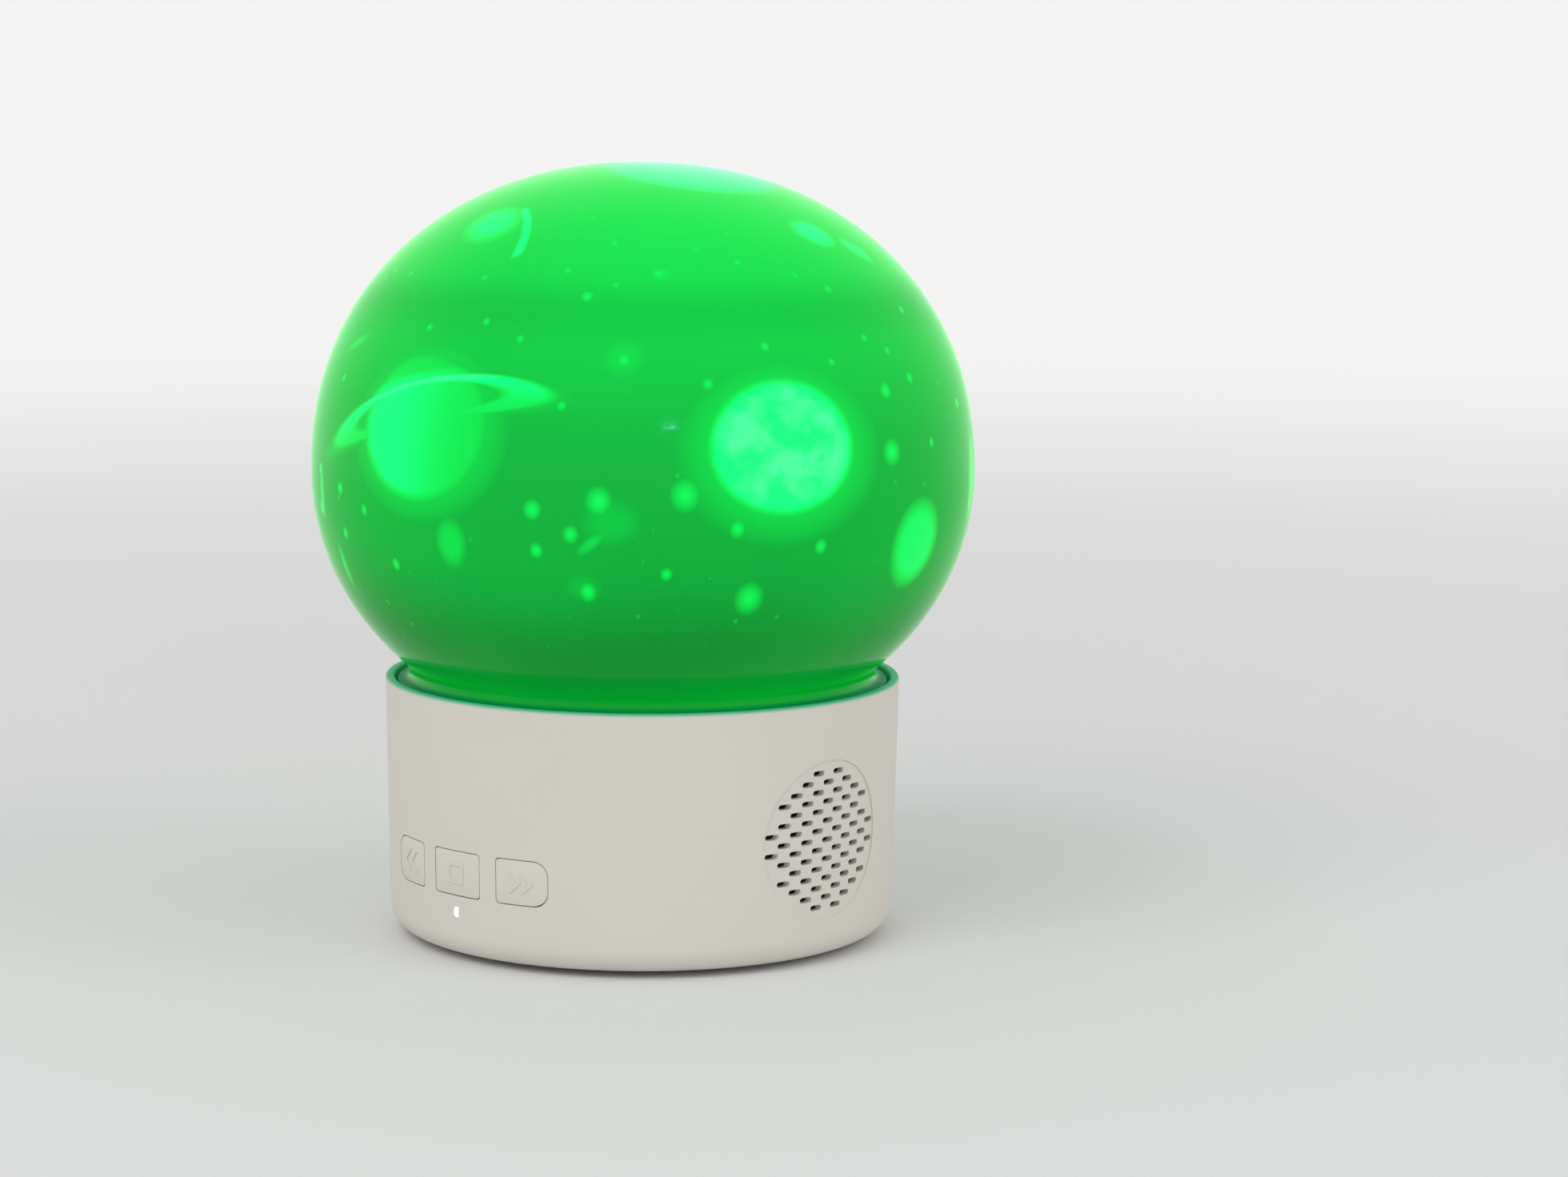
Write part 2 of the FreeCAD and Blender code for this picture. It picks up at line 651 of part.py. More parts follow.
button_sides = {
    "previous": ("-sizes.side_button_outer", "-sizes.side_button_inner"),
    "play": ("-sizes.middle_button_reach", "sizes.middle_button_reach"),
    "next": ("sizes.side_button_inner", "sizes.side_button_outer"),
}
button_rounds = {
    "previous": ("sizes.large_round", "sizes.small_round"),
    "play": ("sizes.small_round", "sizes.small_round"),
    "next": ("sizes.small_round", "sizes.large_round"),
}
button_centres = {
    "previous": f"-{SIDE_BUTTON_MIDDLE}",
    "play": "0 * sizes.middle_button_reach",
    "next": SIDE_BUTTON_MIDDLE,
}
windows = []
for name, (left, right) in button_sides.items():
    sides = (left, right, "sizes.button_low", "sizes.button_high")
    windows.append(window_block(f"window_{name}", sides, button_rounds[name], PLUNGER_FRONT, BEYOND_WALL))
windows.append(cylinder(
    "light_window", f"sizes.light_pipe_radius + {PIN_GAP}", BEYOND_WALL,
    ("0", f"-{SWITCH_FRONT}", "sizes.light_height"), "-Y"))
usb_gap = "sizes.usb_window_gap"
usb_sides = (
    f"-(sizes.usb_half_width + {usb_gap})", f"sizes.usb_half_width + {usb_gap}",
    f"{BOARD_TOP} - {usb_gap}", f"{BOARD_TOP} + sizes.usb_thickness + {usb_gap}")
usb_round = f"sizes.usb_thickness / 2 + {usb_gap} * 0.9"
windows.append(window_block(
    "window_usb", usb_sides, (usb_round, usb_round), f"-({BEYOND_WALL})", "sizes.usb_length"))
for side in (1, -1):
    inner = f"{side} * (sizes.switch_board_reach - 2 * sizes.guide_overlap)"
    outer = f"{side} * (sizes.switch_board_reach + {PIN_GAP})"
    left, right = (inner, outer) if side > 0 else (outer, inner)
    windows.append(box(
        "guide_slot",
        (left, f"-({SWITCH_BOARD_FRONT} + {PIN_GAP})", "sizes.switch_board_low"),
        (right, f"-({SWITCH_BOARD_BACK} - {PIN_GAP})", "sizes.guide_top + 1")))
for at in speaker_screw_places:
    windows.append(cylinder(
        "speaker_screw_hole", f"sizes.screw_radius + {PIN_GAP}", "sizes.screw_head_height * 3", at, "+X"))
for turn in QUARTER_TURNS:
    hole_x, hole_y = on_circle(COLUMN_CIRCLE, turn)
    hole_low = f"{LEDGE_UNDER} - sizes.column_length * 0.8"
    windows.append(cylinder(
        "deck_screw_hole", f"sizes.screw_radius + {PIN_GAP}", "sizes.column_length * 0.8",
        (hole_x, hole_y, hole_low)))
    hole_x, hole_y = on_circle(COVER_BOSS_CIRCLE, turn)
    windows.append(cylinder(
        "cover_screw_hole", f"sizes.screw_radius + {PIN_GAP}", "sizes.cover_boss_height * 0.9",
        (hole_x, hole_y, COVER_TOP)))
patch = cylinder(
    "patch_disc", "sizes.patch_radius", BEYOND_WALL, ("0", "0", SPEAKER_HEIGHT), "+X")
patch_layer = skin_layer("patch_layer", "sizes.shell_wall", "-sizes.patch_depth")
windows.append(common("patch_recess", patch_layer, patch))

# The grille: staggered upright columns of short level slots that together fill a circle.

rows_of_column = {
    0: (0, 2, 4, 6),
    1: (1, 3, 5, 7),
    2: (0, 2, 4, 6),
    3: (1, 3, 5),
    4: (0, 2, 4),
    5: (1,),
}


def slot_solid(across, up):
    """One level slot with round ends, cut along X through the wall."""
    half_width = value("sizes.slot_width") / 2
    half_run = value("sizes.slot_length") / 2 - half_width
    start = value(SPEAKER_FACE) + 2 * value("sizes.gasket_thickness") + value("sizes.shell_wall") / 2
    depth = value(BEYOND_WALL) - start
    run = Part.makeBox(depth, 2 * half_run, 2 * half_width, Vector(start, across - half_run, up - half_width))
    ends = []
    for side in (-1, 1):
        centre = Vector(start, across + side * half_run, up)
        ends.append(Part.makeCylinder(half_width, depth, centre, Vector(1, 0, 0)))
    return run.fuse(ends)


slot_solids = []
for column in range(-5, 6):
    rows = rows_of_column[abs(column)]
    for row in sorted(set(rows) | {-row for row in rows}):
        across = column * value("sizes.slot_column_pitch")
        up = value(SPEAKER_HEIGHT) + row * value("sizes.slot_row_pitch")
        slot_solids.append(slot_solid(across, up))
grille_slots = formed("grille_slots", Part.makeCompound(slot_solids))
piece(cut("housing_cut", housing_blank, *windows, grille_slots), "housing")

# Bottom cover: a disc let into the housing from below, with recesses for the rubber feet,
# sunk holes for its screws and four posts that carry the main board.

cover_body = new_body("cover_body")
cover_sketch = new_sketch(cover_body, "cover_outline", "XY_Plane", "sizes.base_lift")
draw_circle(cover_sketch, "0", "0", COVER_RADIUS)
padded(cover_body, cover_sketch, "sizes.cover_thickness")
recess_sketch = new_sketch(cover_body, "foot_recess_outline", "XY_Plane", "sizes.base_lift")
draw_circle(recess_sketch, FOOT_PAD_CIRCLE, "0", "sizes.foot_pad_radius + sizes.fit_gap / 2")
document.recompute()
recess = pocketed(cover_body, recess_sketch, "sizes.foot_recess", True)
four_fold(cover_body, recess, recess_sketch)
board_posts = []
for side_x in (1, -1):
    for side_y in (1, -1):
        at = (f"{side_x} * {BOARD_POST_X}", f"{side_y} * {BOARD_POST_Y}", f"{COVER_TOP} - 0.5")
        board_posts.append(cylinder(
            "board_post", "sizes.board_post_radius", f"sizes.board_height - {COVER_TOP} + 0.5", at))
cover_holes = []
for turn in QUARTER_TURNS:
    hole_x, hole_y = on_circle(COVER_BOSS_CIRCLE, turn)
    cover_holes.append(cylinder(
        "cover_hole", f"sizes.screw_radius + {PIN_GAP}", "sizes.cover_thickness",
        (hole_x, hole_y, "sizes.base_lift")))
    cover_holes.append(cylinder(
        "cover_counterbore", "sizes.screw_head_radius + sizes.fit_gap", "sizes.screw_head_height",
        (hole_x, hole_y, "sizes.base_lift")))
for side_x in (1, -1):
    for side_y in (1, -1):
        at = (f"{side_x} * {BOARD_POST_X}", f"{side_y} * {BOARD_POST_Y}", COVER_TOP)
        cover_holes.append(cylinder(
            "post_hole", f"sizes.screw_radius + {PIN_GAP}", "sizes.board_height", at))
cover_blank = fuse("cover_blank", cover_body, *board_posts)
piece(cut("cover_cut", cover_blank, *cover_holes), "bottom_cover")

# Rubber feet: four round pads glued into the recesses.

foot_pads = []
for turn in SQUARE_TURNS:
    foot_x, foot_y = on_circle(FOOT_PAD_CIRCLE, turn)
    pad = cylinder(
        "foot_pad", "sizes.foot_pad_radius", "sizes.base_lift + sizes.foot_recess - sizes.foot_edge",
        (foot_x, foot_y, "sizes.foot_edge"))
    edge = cone(
        "foot_pad_edge", "sizes.foot_pad_radius - sizes.foot_edge", "sizes.foot_pad_radius",
        "sizes.foot_edge", (foot_x, foot_y, "0"))
    foot_pads.append(fuse("rubber_foot", pad, edge))
piece(group("feet", *foot_pads), "rubber_feet")

cover_screws = []
for turn in QUARTER_TURNS:
    screw_x, screw_y = on_circle(COVER_BOSS_CIRCLE, turn)
    at = (screw_x, screw_y, "sizes.base_lift + sizes.screw_head_height")
    cover_screws.append(screw("cover_screw", at, "-Z", "sizes.cover_boss_height * 0.8"))
piece(group("cover_screw_set", *cover_screws), "cover_screws")

# Deck: the pan that closes the base. Its ledge lies on the housing's shelf and carries the shade,
# and its hollow post carries the lamp and is the turntable's axle.

deck_body = revolved("deck_body", [
    (f"{PAN_RADIUS} - sizes.pan_wall", "sizes.ledge_height"),
    (f"{RIM_INNER} - sizes.deck_gap", "sizes.ledge_height"),
    (f"{RIM_INNER} - sizes.deck_gap", LEDGE_UNDER),
    (PAN_RADIUS, LEDGE_UNDER),
    (PAN_RADIUS, PAN_UNDER),
    ("sizes.post_bore_radius", PAN_UNDER),
    ("sizes.post_bore_radius", POST_TOP),
    ("sizes.post_radius", POST_TOP),
    ("sizes.post_radius", f"{CLIP_UNDER} + sizes.clip_thickness + sizes.thread_gap"),
    ("sizes.post_radius - sizes.clip_groove_depth",
     f"{CLIP_UNDER} + sizes.clip_thickness + sizes.thread_gap"),
    ("sizes.post_radius - sizes.clip_groove_depth", f"{CLIP_UNDER} - sizes.thread_gap"),
    ("sizes.post_radius", f"{CLIP_UNDER} - sizes.thread_gap"),
    ("sizes.post_radius", PAN_FLOOR),
    (f"{PAN_RADIUS} - sizes.pan_wall", PAN_FLOOR),
])
deck_hole_sketch = new_sketch(deck_body, "deck_hole_outline", "XY_Plane", LEDGE_UNDER)
diagonal = f"{COLUMN_CIRCLE} * sqrt(0.5)"
draw_circle(deck_hole_sketch, diagonal, diagonal, f"sizes.screw_radius + {PIN_GAP}")
document.recompute()
deck_hole = pocketed(deck_body, deck_hole_sketch, "sizes.ledge_thickness", True)
four_fold(deck_body, deck_hole, deck_hole_sketch)
deck_cuts = [cylinder(
    "motor_boss_hole", "sizes.motor_boss_radius + sizes.fit_gap", "sizes.floor_thickness",
    (MOTOR_X, "0", PAN_UNDER))]
for turn in QUARTER_TURNS:
    sink_x, sink_y = on_circle(COLUMN_CIRCLE, turn)
    deck_cuts.append(cone(
        "deck_countersink", f"sizes.screw_radius + {PIN_GAP}", f"sizes.screw_head_radius + {PIN_GAP}",
        "sizes.screw_head_height", (sink_x, sink_y, "sizes.ledge_height - sizes.screw_head_height")))
for side in (1, -1):
    deck_cuts.append(cylinder(
        "motor_screw_hole", f"sizes.screw_radius + {PIN_GAP}", "sizes.floor_thickness",
        (MOTOR_X, f"{side} * sizes.motor_screw_reach", PAN_UNDER)))
    deck_cuts.append(cylinder(
        "lamp_screw_hole", f"sizes.lamp_screw_radius + {PIN_GAP}", "sizes.lamp_screw_length",
        (f"{side} * sizes.lamp_screw_circle", "0", f"{POST_TOP} - sizes.lamp_screw_length + 2")))
piece(cut("deck_cut", deck_body, *deck_cuts), "deck")

deck_screws = []
for turn in QUARTER_TURNS:
    screw_x, screw_y = on_circle(COLUMN_CIRCLE, turn)
    head = cone(
        "deck_screw_head", "sizes.screw_radius", "sizes.screw_head_radius", "sizes.screw_head_height",
        (screw_x, screw_y, "sizes.ledge_height - sizes.screw_head_height"))
    shank = cylinder(
        "deck_screw_shank", "sizes.screw_radius", "sizes.column_length * 0.7",
        (screw_x, screw_y, "sizes.ledge_height - sizes.screw_head_height - sizes.column_length * 0.7"))
    deck_screws.append(fuse("deck_screw", head, shank))
piece(group("deck_screw_set", *deck_screws), "deck_screws")

# Lamp: a flanged aluminium plug in the top of the post, a round board on it, and the emitter.
# The slot in the plug lets the lamp's leads through.

sink_flange = cylinder(
    "sink_flange", "sizes.post_radius", "sizes.sink_flange_thickness", ("0", "0", POST_TOP))
sink_plug = cylinder(
    "sink_plug", "sizes.post_bore_radius - sizes.fit_gap / 2", "sizes.sink_plug_length",
    ("0", "0", f"{POST_TOP} - sizes.sink_plug_length"))
sink_blank = fuse("sink_blank", sink_flange, sink_plug)
sink_slot = box(
    "sink_slot",
    ("-(sizes.wire_pitch / 2 + 2 * sizes.wire_radius)", "sizes.post_bore_radius / 2", "0"),
    ("sizes.wire_pitch / 2 + 2 * sizes.wire_radius", "sizes.post_bore_radius", f"{SINK_TOP} + 1"))
sink_cuts = [sink_slot]
lamp_board_cuts = []
lamp_screws = []
for side in (1, -1):
    across = f"{side} * sizes.lamp_screw_circle"
    sink_cuts.append(cylinder(
        "sink_screw_hole", f"sizes.lamp_screw_radius + {PIN_GAP}", "sizes.sink_flange_thickness",
        (across, "0", POST_TOP)))
    lamp_board_cuts.append(cylinder(
        "lamp_board_hole", f"sizes.lamp_screw_radius + {PIN_GAP}", "sizes.lamp_board_thickness",
        (across, "0", SINK_TOP)))
    lamp_screws.append(screw(
        "lamp_screw", (across, "0", LAMP_BOARD_TOP), "+Z", "sizes.lamp_screw_length",
        "sizes.lamp_screw_radius", "sizes.lamp_screw_radius * 1.8"))
piece(cut("sink_cut", sink_blank, *sink_cuts), "heat_sink")
lamp_board_disc = cylinder(
    "lamp_board_disc", "sizes.post_radius", "sizes.lamp_board_thickness", ("0", "0", SINK_TOP))
piece(cut("lamp_board_cut", lamp_board_disc, *lamp_board_cuts), "lamp_board")
piece(group("lamp_screw_set", *lamp_screws), "lamp_screws")

emitter_reach = "sizes.emitter_width / 2"
emitter_top = f"{LAMP_BOARD_TOP} + sizes.emitter_base_height"
emitter_base = box(
    "emitter_base", (f"-{emitter_reach}", f"-{emitter_reach}", LAMP_BOARD_TOP),
    (emitter_reach, emitter_reach, emitter_top))
emitter_lens = document.addObject("Part::Sphere", "emitter_lens")
emitter_lens.setExpression("Radius", "sizes.emitter_lens_radius")
emitter_lens.Angle1 = 0
emitter_lens.Angle2 = 90
place(emitter_lens, ("0", "0", emitter_top))
piece(fuse("emitter", emitter_base, emitter_lens), "lamp_emitter")

# Turntable: a disc on a hub that turns on the post, with a ring of gear teeth below it and a
# circular groove on top that holds the film upright. A slip washer carries it and a clip keeps it down.


def gear_solid(teeth, low, thickness, phase):
    """A spur gear with involute flanks, cut low so that the small wheel isn't undercut."""
    module = value("sizes.tooth_module")
    pitch_radius = teeth * module / 2
    pressure = math.radians(20)
    base_radius = pitch_radius * math.cos(pressure)
    tip_radius = pitch_radius + value("sizes.tooth_addendum")
    root_radius = pitch_radius - value("sizes.tooth_dedendum")
    half_tooth = (math.pi * module / 2 - value("sizes.tooth_backlash")) / (2 * pitch_radius)
    pitch_roll = math.tan(pressure) - pressure

    def flank_point(radius, centre, side):
        slant = math.acos(min(1.0, base_radius / radius))
        angle = half_tooth + pitch_roll - (math.tan(slant) - slant)
        turn = centre + side * angle
        return Vector(radius * math.cos(turn), radius * math.sin(turn), low)

    def arc_between(start, end, radius):
        middle = (start + end) / 2
        flat = Vector(middle.x, middle.y, 0).normalize() * radius
        return Part.Arc(start, Vector(flat.x, flat.y, low), end).toShape()

    involute_start = max(base_radius, root_radius)
    radii = [involute_start + (tip_radius - involute_start) * step / 3 for step in range(4)]
    edges = []
    first_root = None
    last_root = None
    for number in range(teeth):
        centre = phase + 2 * math.pi * number / teeth
        rising = [flank_point(radius, centre, -1) for radius in radii]
        falling = [flank_point(radius, centre, 1) for radius in reversed(radii)]
        rising_root = Vector(rising[0].x, rising[0].y, 0).normalize() * root_radius + Vector(0, 0, low)
        falling_root = Vector(falling[-1].x, falling[-1].y, 0).normalize() * root_radius + Vector(0, 0, low)
        if last_root is None:
            first_root = rising_root
        else:
            edges.append(arc_between(last_root, rising_root, root_radius))
        if root_radius < base_radius:
            edges.append(Part.LineSegment(rising_root, rising[0]).toShape())
        for points in (rising, falling):
            curve = Part.BSplineCurve()
            curve.interpolate(points)
            edges.append(curve.toShape())
            if points is rising:
                edges.append(arc_between(rising[-1], falling[0], tip_radius))
        if root_radius < base_radius:
            edges.append(Part.LineSegment(falling[-1], falling_root).toShape())
        last_root = falling_root
    edges.append(arc_between(last_root, first_root, root_radius))
    return Part.Face(Part.Wire(edges)).extrude(Vector(0, 0, thickness))


bearing_bore = "sizes.post_radius + sizes.running_gap"
piece(revolved("washer", [
    (bearing_bore, PAN_FLOOR),
    ("sizes.washer_radius", PAN_FLOOR),
    ("sizes.washer_radius", HUB_UNDER),
    (bearing_bore, HUB_UNDER),
]), "bearing_washer")

groove_inner = f"{FILM_INNER} - sizes.fit_gap"
groove_outer = f"{FILM_OUTER} + sizes.fit_gap"
wall_top = f"{TABLE_TOP} + sizes.film_wall_height"
table_body = revolved("table_body", [
    (bearing_bore, HUB_UNDER),
    ("sizes.hub_radius", HUB_UNDER),
    ("sizes.hub_radius", TABLE_UNDER),
    (TABLE_RADIUS, TABLE_UNDER),
    (TABLE_RADIUS, TABLE_TOP),
    (f"{groove_outer} + sizes.film_wall_thickness", TABLE_TOP),
    (f"{groove_outer} + sizes.film_wall_thickness", wall_top),
    (groove_outer, wall_top),
    (groove_outer, FILM_UNDER),
    (groove_inner, FILM_UNDER),
    (groove_inner, wall_top),
    (f"{groove_inner} - sizes.film_wall_thickness", wall_top),
    (f"{groove_inner} - sizes.film_wall_thickness", TABLE_TOP),
    ("sizes.hub_radius", TABLE_TOP),
    ("sizes.hub_radius", HUB_TOP),
    (bearing_bore, HUB_TOP),
])
gear_low = value(f"{PAN_FLOOR} + sizes.gear_rise")
gear_depth = value(TABLE_UNDER) - gear_low
table_teeth = int(round(value("sizes.table_teeth")))
table_gear = gear_solid(table_teeth, gear_low, gear_depth + 0.5, math.pi)
gear_bore = Part.makeCylinder(value("sizes.hub_radius") - 1, gear_depth + 1, Vector(0, 0, gear_low - 0.2))
piece(fuse("table_whole", table_body, formed("table_gear", table_gear.cut(gear_bore))), "turntable")

clip_ring = revolved("clip_ring", [
    ("sizes.post_radius - sizes.clip_groove_depth + sizes.running_gap", CLIP_UNDER),
    ("sizes.clip_radius", CLIP_UNDER),
    ("sizes.clip_radius", f"{CLIP_UNDER} + sizes.clip_thickness"),
    ("sizes.post_radius - sizes.clip_groove_depth + sizes.running_gap",
     f"{CLIP_UNDER} + sizes.clip_thickness"),
])
clip_gap = box(
    "clip_gap", ("-sizes.clip_opening / 2", "-sizes.clip_radius - 1", CLIP_UNDER),
    ("sizes.clip_opening / 2", "0", f"{CLIP_UNDER} + sizes.clip_thickness"))
piece(cut("clip_cut", clip_ring, clip_gap), "retaining_clip")

# Drive: a small geared motor hangs under the deck, and its pinion turns the ring of teeth.

motor_can = cylinder(
    "motor_can", "sizes.motor_radius", "sizes.motor_length",
    (MOTOR_X, "0", f"{PAN_UNDER} - sizes.motor_length"))
motor_tail = cylinder(
    "motor_tail", "sizes.motor_radius * 0.45", "sizes.motor_ear_thickness",
    (MOTOR_X, "0", f"{PAN_UNDER} - sizes.motor_length - sizes.motor_ear_thickness"))
motor_boss = cylinder(
    "motor_boss", "sizes.motor_boss_radius", "sizes.motor_boss_height", (MOTOR_X, "0", PAN_UNDER))
motor_ear = box(
    "motor_ear",
    (f"{MOTOR_X} - sizes.motor_ear_width / 2", "-sizes.motor_ear_reach",
     f"{PAN_UNDER} - sizes.motor_ear_thickness"),
    (f"{MOTOR_X} + sizes.motor_ear_width / 2", "sizes.motor_ear_reach", PAN_UNDER))
shaft_low = f"({PAN_UNDER} - sizes.motor_length / 2)"
motor_cuts = [cylinder(
    "motor_bearing", "sizes.motor_shaft_radius + sizes.running_gap", "sizes.motor_length",
    (MOTOR_X, "0", shaft_low))]
motor_screws = []
for side in (1, -1):
    across = f"{side} * sizes.motor_screw_reach"
    motor_cuts.append(cylinder(
        "ear_hole", f"sizes.screw_radius + {PIN_GAP}", "2 * sizes.motor_ear_thickness",
        (MOTOR_X, across, f"{PAN_UNDER} - 1.5 * sizes.motor_ear_thickness")))
    motor_screws.append(screw("motor_screw", (MOTOR_X, across, PAN_FLOOR), "+Z", "sizes.motor_screw_length"))
motor_blank = fuse("motor_blank", motor_can, motor_tail, motor_boss, motor_ear)
piece(cut("motor_cut", motor_blank, *motor_cuts), "gear_motor")
piece(group("motor_screw_set", *motor_screws), "motor_screws")

pinion_low = f"{TABLE_UNDER} - sizes.pinion_gap - sizes.pinion_thickness"
pinion_high = f"({TABLE_UNDER} - sizes.pinion_gap)"
piece(cylinder(
    "shaft", "sizes.motor_shaft_radius", f"{pinion_high} - {shaft_low}", (MOTOR_X, "0", shaft_low)),
    "motor_shaft")
pinion_teeth = int(round(value("sizes.pinion_teeth")))
pinion_blank = gear_solid(pinion_teeth, 0.0, value("sizes.pinion_thickness"), math.pi / pinion_teeth)
pinion_bore = Part.makeCylinder(value("sizes.motor_shaft_radius + 0.02"), 10, Vector(0, 0, -5))
pinion = piece(formed("pinion_wheel", pinion_blank.cut(pinion_bore)), "pinion")
place(pinion, (MOTOR_X, "0", pinion_low))

# Film: a printed sheet rolled into a cylinder, a ring-shaped cap on its top edge and a printed disc
# in the cap's recess. All three lift off together to be changed.

piece(revolved("film_roll", [
    (FILM_INNER, FILM_UNDER),
    (FILM_OUTER, FILM_UNDER),
    (FILM_OUTER, FILM_TOP),
    (FILM_INNER, FILM_TOP),
]), "film_side")
cap_outer = f"({FILM_OUTER} + sizes.fit_gap + sizes.cap_wall_thickness)"
cap_inner = f"({cap_outer} - sizes.cap_width)"
disc_radius = f"({cap_outer} - 2 * sizes.cap_wall_thickness)"
web_top = f"({FILM_TOP} + sizes.cap_web_thickness)"
piece(revolved("cap_ring", [
    (cap_inner, FILM_TOP),
    (f"{FILM_OUTER} + sizes.fit_gap", FILM_TOP),
    (f"{FILM_OUTER} + sizes.fit_gap", f"{FILM_TOP} - sizes.cap_skirt_height"),
    (cap_outer, f"{FILM_TOP} - sizes.cap_skirt_height"),
    (cap_outer, f"{web_top} + sizes.cap_rim_height"),
    (disc_radius, f"{web_top} + sizes.cap_rim_height"),
    (disc_radius, web_top),
    (cap_inner, web_top),
]), "film_cap")
piece(cylinder(
    "film_disc", f"{disc_radius} - sizes.fit_gap", "sizes.film_thickness", ("0", "0", web_top)), "film_top")

# Shade: one milky shell. Above its centre it is a flattened dome, below it narrows to a waist,
# and from the waist a hollow curve runs out to the flange that lies on the deck's ledge.


def dome_point(turn, shrink):
    """A point of the dome's outline: radius and height at a turn from the level, walls in by shrink."""
    upper = turn >= 0
    reach = value(DOME_RADIUS) - shrink
    height = value("sizes.dome_upper_height" if upper else "sizes.dome_lower_height") - shrink
    power = 2 / value("sizes.dome_upper_power" if upper else "sizes.dome_lower_power")
    across = reach * math.cos(turn) ** power if abs(turn) < math.pi / 2 else 0.0
    up = height * math.copysign(abs(math.sin(turn)) ** power, turn)
    return Vector(across, 0, value(DOME_CENTRE) + up)


def dome_turn_at(height, shrink):
    """The turn at which the lower part of the outline has a given height."""
    reach = value("sizes.dome_lower_height") - shrink
    share = (value(DOME_CENTRE) - height) / reach
    return -math.asin(share ** (value("sizes.dome_lower_power") / 2))


def dome_curve(lowest, shrink):
    upper_steps = 14
    lower_steps = 7
    turns = [lowest * (lower_steps - step) / lower_steps for step in range(lower_steps)]
    turns += [math.pi / 2 * step / upper_steps for step in range(upper_steps + 1)]
    points = [dome_point(turn, shrink) for turn in turns]
    slope = dome_point(lowest + 0.001, shrink) - dome_point(lowest, shrink)
    curve = Part.BSplineCurve()
    curve.interpolate(points, InitialTangent=slope, FinalTangent=Vector(-1, 0, 0))
    return curve.toShape()


waist_height = value(WAIST_HEIGHT)
flange_top = value("sizes.ledge_height + sizes.flange_thickness")
flange_under = value("sizes.ledge_height")
flange_radius = value(FLANGE_RADIUS)
flange_edge = value("sizes.flange_edge")
shade_wall = value("sizes.shade_wall")
outer_turn = dome_turn_at(waist_height + flange_edge, 0)
inner_turn = dome_turn_at(waist_height, shade_wall)
outer_start = dome_point(outer_turn, 0)
inner_start = dome_point(inner_turn, shade_wall)
waist = Vector(value(WAIST_RADIUS), 0, waist_height - flange_edge)
hollow_end = Vector(flange_radius - 2 * flange_edge, 0, flange_top)
edge_start = Vector(flange_radius - flange_edge, 0, flange_top)
edge_middle = Vector(
    flange_radius - flange_edge * (1 - math.sqrt(0.5)), 0, flange_top - flange_edge * (1 - math.sqrt(0.5)))
edge_end = Vector(flange_radius, 0, flange_top - flange_edge)
flange_corner = Vector(flange_radius, 0, flange_under)
mouth_corner = Vector(inner_start.x, 0, flange_under)
outer_top = dome_point(math.pi / 2, 0)
inner_top = dome_point(math.pi / 2, shade_wall)
hollow = Part.BSplineCurve()
hollow.interpolate(
    [outer_start, waist, hollow_end],
    InitialTangent=outer_start - dome_point(outer_turn + 0.01, 0), FinalTangent=Vector(1, 0, -0.1))
shade_outline = Part.Wire([
    dome_curve(outer_turn, 0),
    Part.LineSegment(outer_top, inner_top).toShape(),
    dome_curve(inner_turn, shade_wall),
    Part.LineSegment(inner_start, mouth_corner).toShape(),
    Part.LineSegment(mouth_corner, flange_corner).toShape(),
    Part.LineSegment(flange_corner, edge_end).toShape(),
    Part.Arc(edge_end, edge_middle, edge_start).toShape(),
    Part.LineSegment(edge_start, hollow_end).toShape(),
    hollow.toShape(),
])
shade_solid = Part.Face(shade_outline).revolve(Vector(0, 0, 0), Vector(0, 0, 1), 360)
piece(formed("shade_shell", shade_solid), "shade")

# Buttons: each cap fills its window flush with the drafted wall, has a lip behind the wall that
# keeps it in, a stem that meets its switch, and a raised sign: a square between double chevrons.

cap_layer = skin_layer("cap_layer", "0", "-sizes.button_skin")
lip_outer = "-(sizes.shell_wall + sizes.button_lip_gap)"
lip_layer = skin_layer("lip_layer", lip_outer, f"{lip_outer} - sizes.button_lip_thickness")
stem_room = cone(
    "stem_room", f"sizes.foot_radius + {lip_outer}", f"sizes.rim_radius + {lip_outer}",
    f"{RIM_HEIGHT} - sizes.base_lift", ("0", "0", "sizes.base_lift"))
sign_layer = skin_layer("sign_layer", "sizes.sign_rise", "-sizes.sign_rise")


def upright_prism(points):
    """A prism on an outline of x and z, long enough to pass through the front wall."""
    reach = value(BEYOND_WALL)
    corners = [Vector(across, 0, up) for across, up in points]
    outline = Part.makePolygon(corners + corners[:1])
    return Part.Face(outline).extrude(Vector(0, -reach, 0))


def square_sign(centre, middle):
    half = value("sizes.sign_width") / 2
    inner = half - value("sizes.sign_stroke")
    corner_signs = ((-1, -1), (1, -1), (1, 1), (-1, 1))
    outer_corners = [(centre + x * half, middle + z * half) for x, z in corner_signs]
    inner_corners = [(centre + x * inner, middle + z * inner) for x, z in corner_signs]
    return upright_prism(outer_corners).cut(upright_prism(inner_corners))


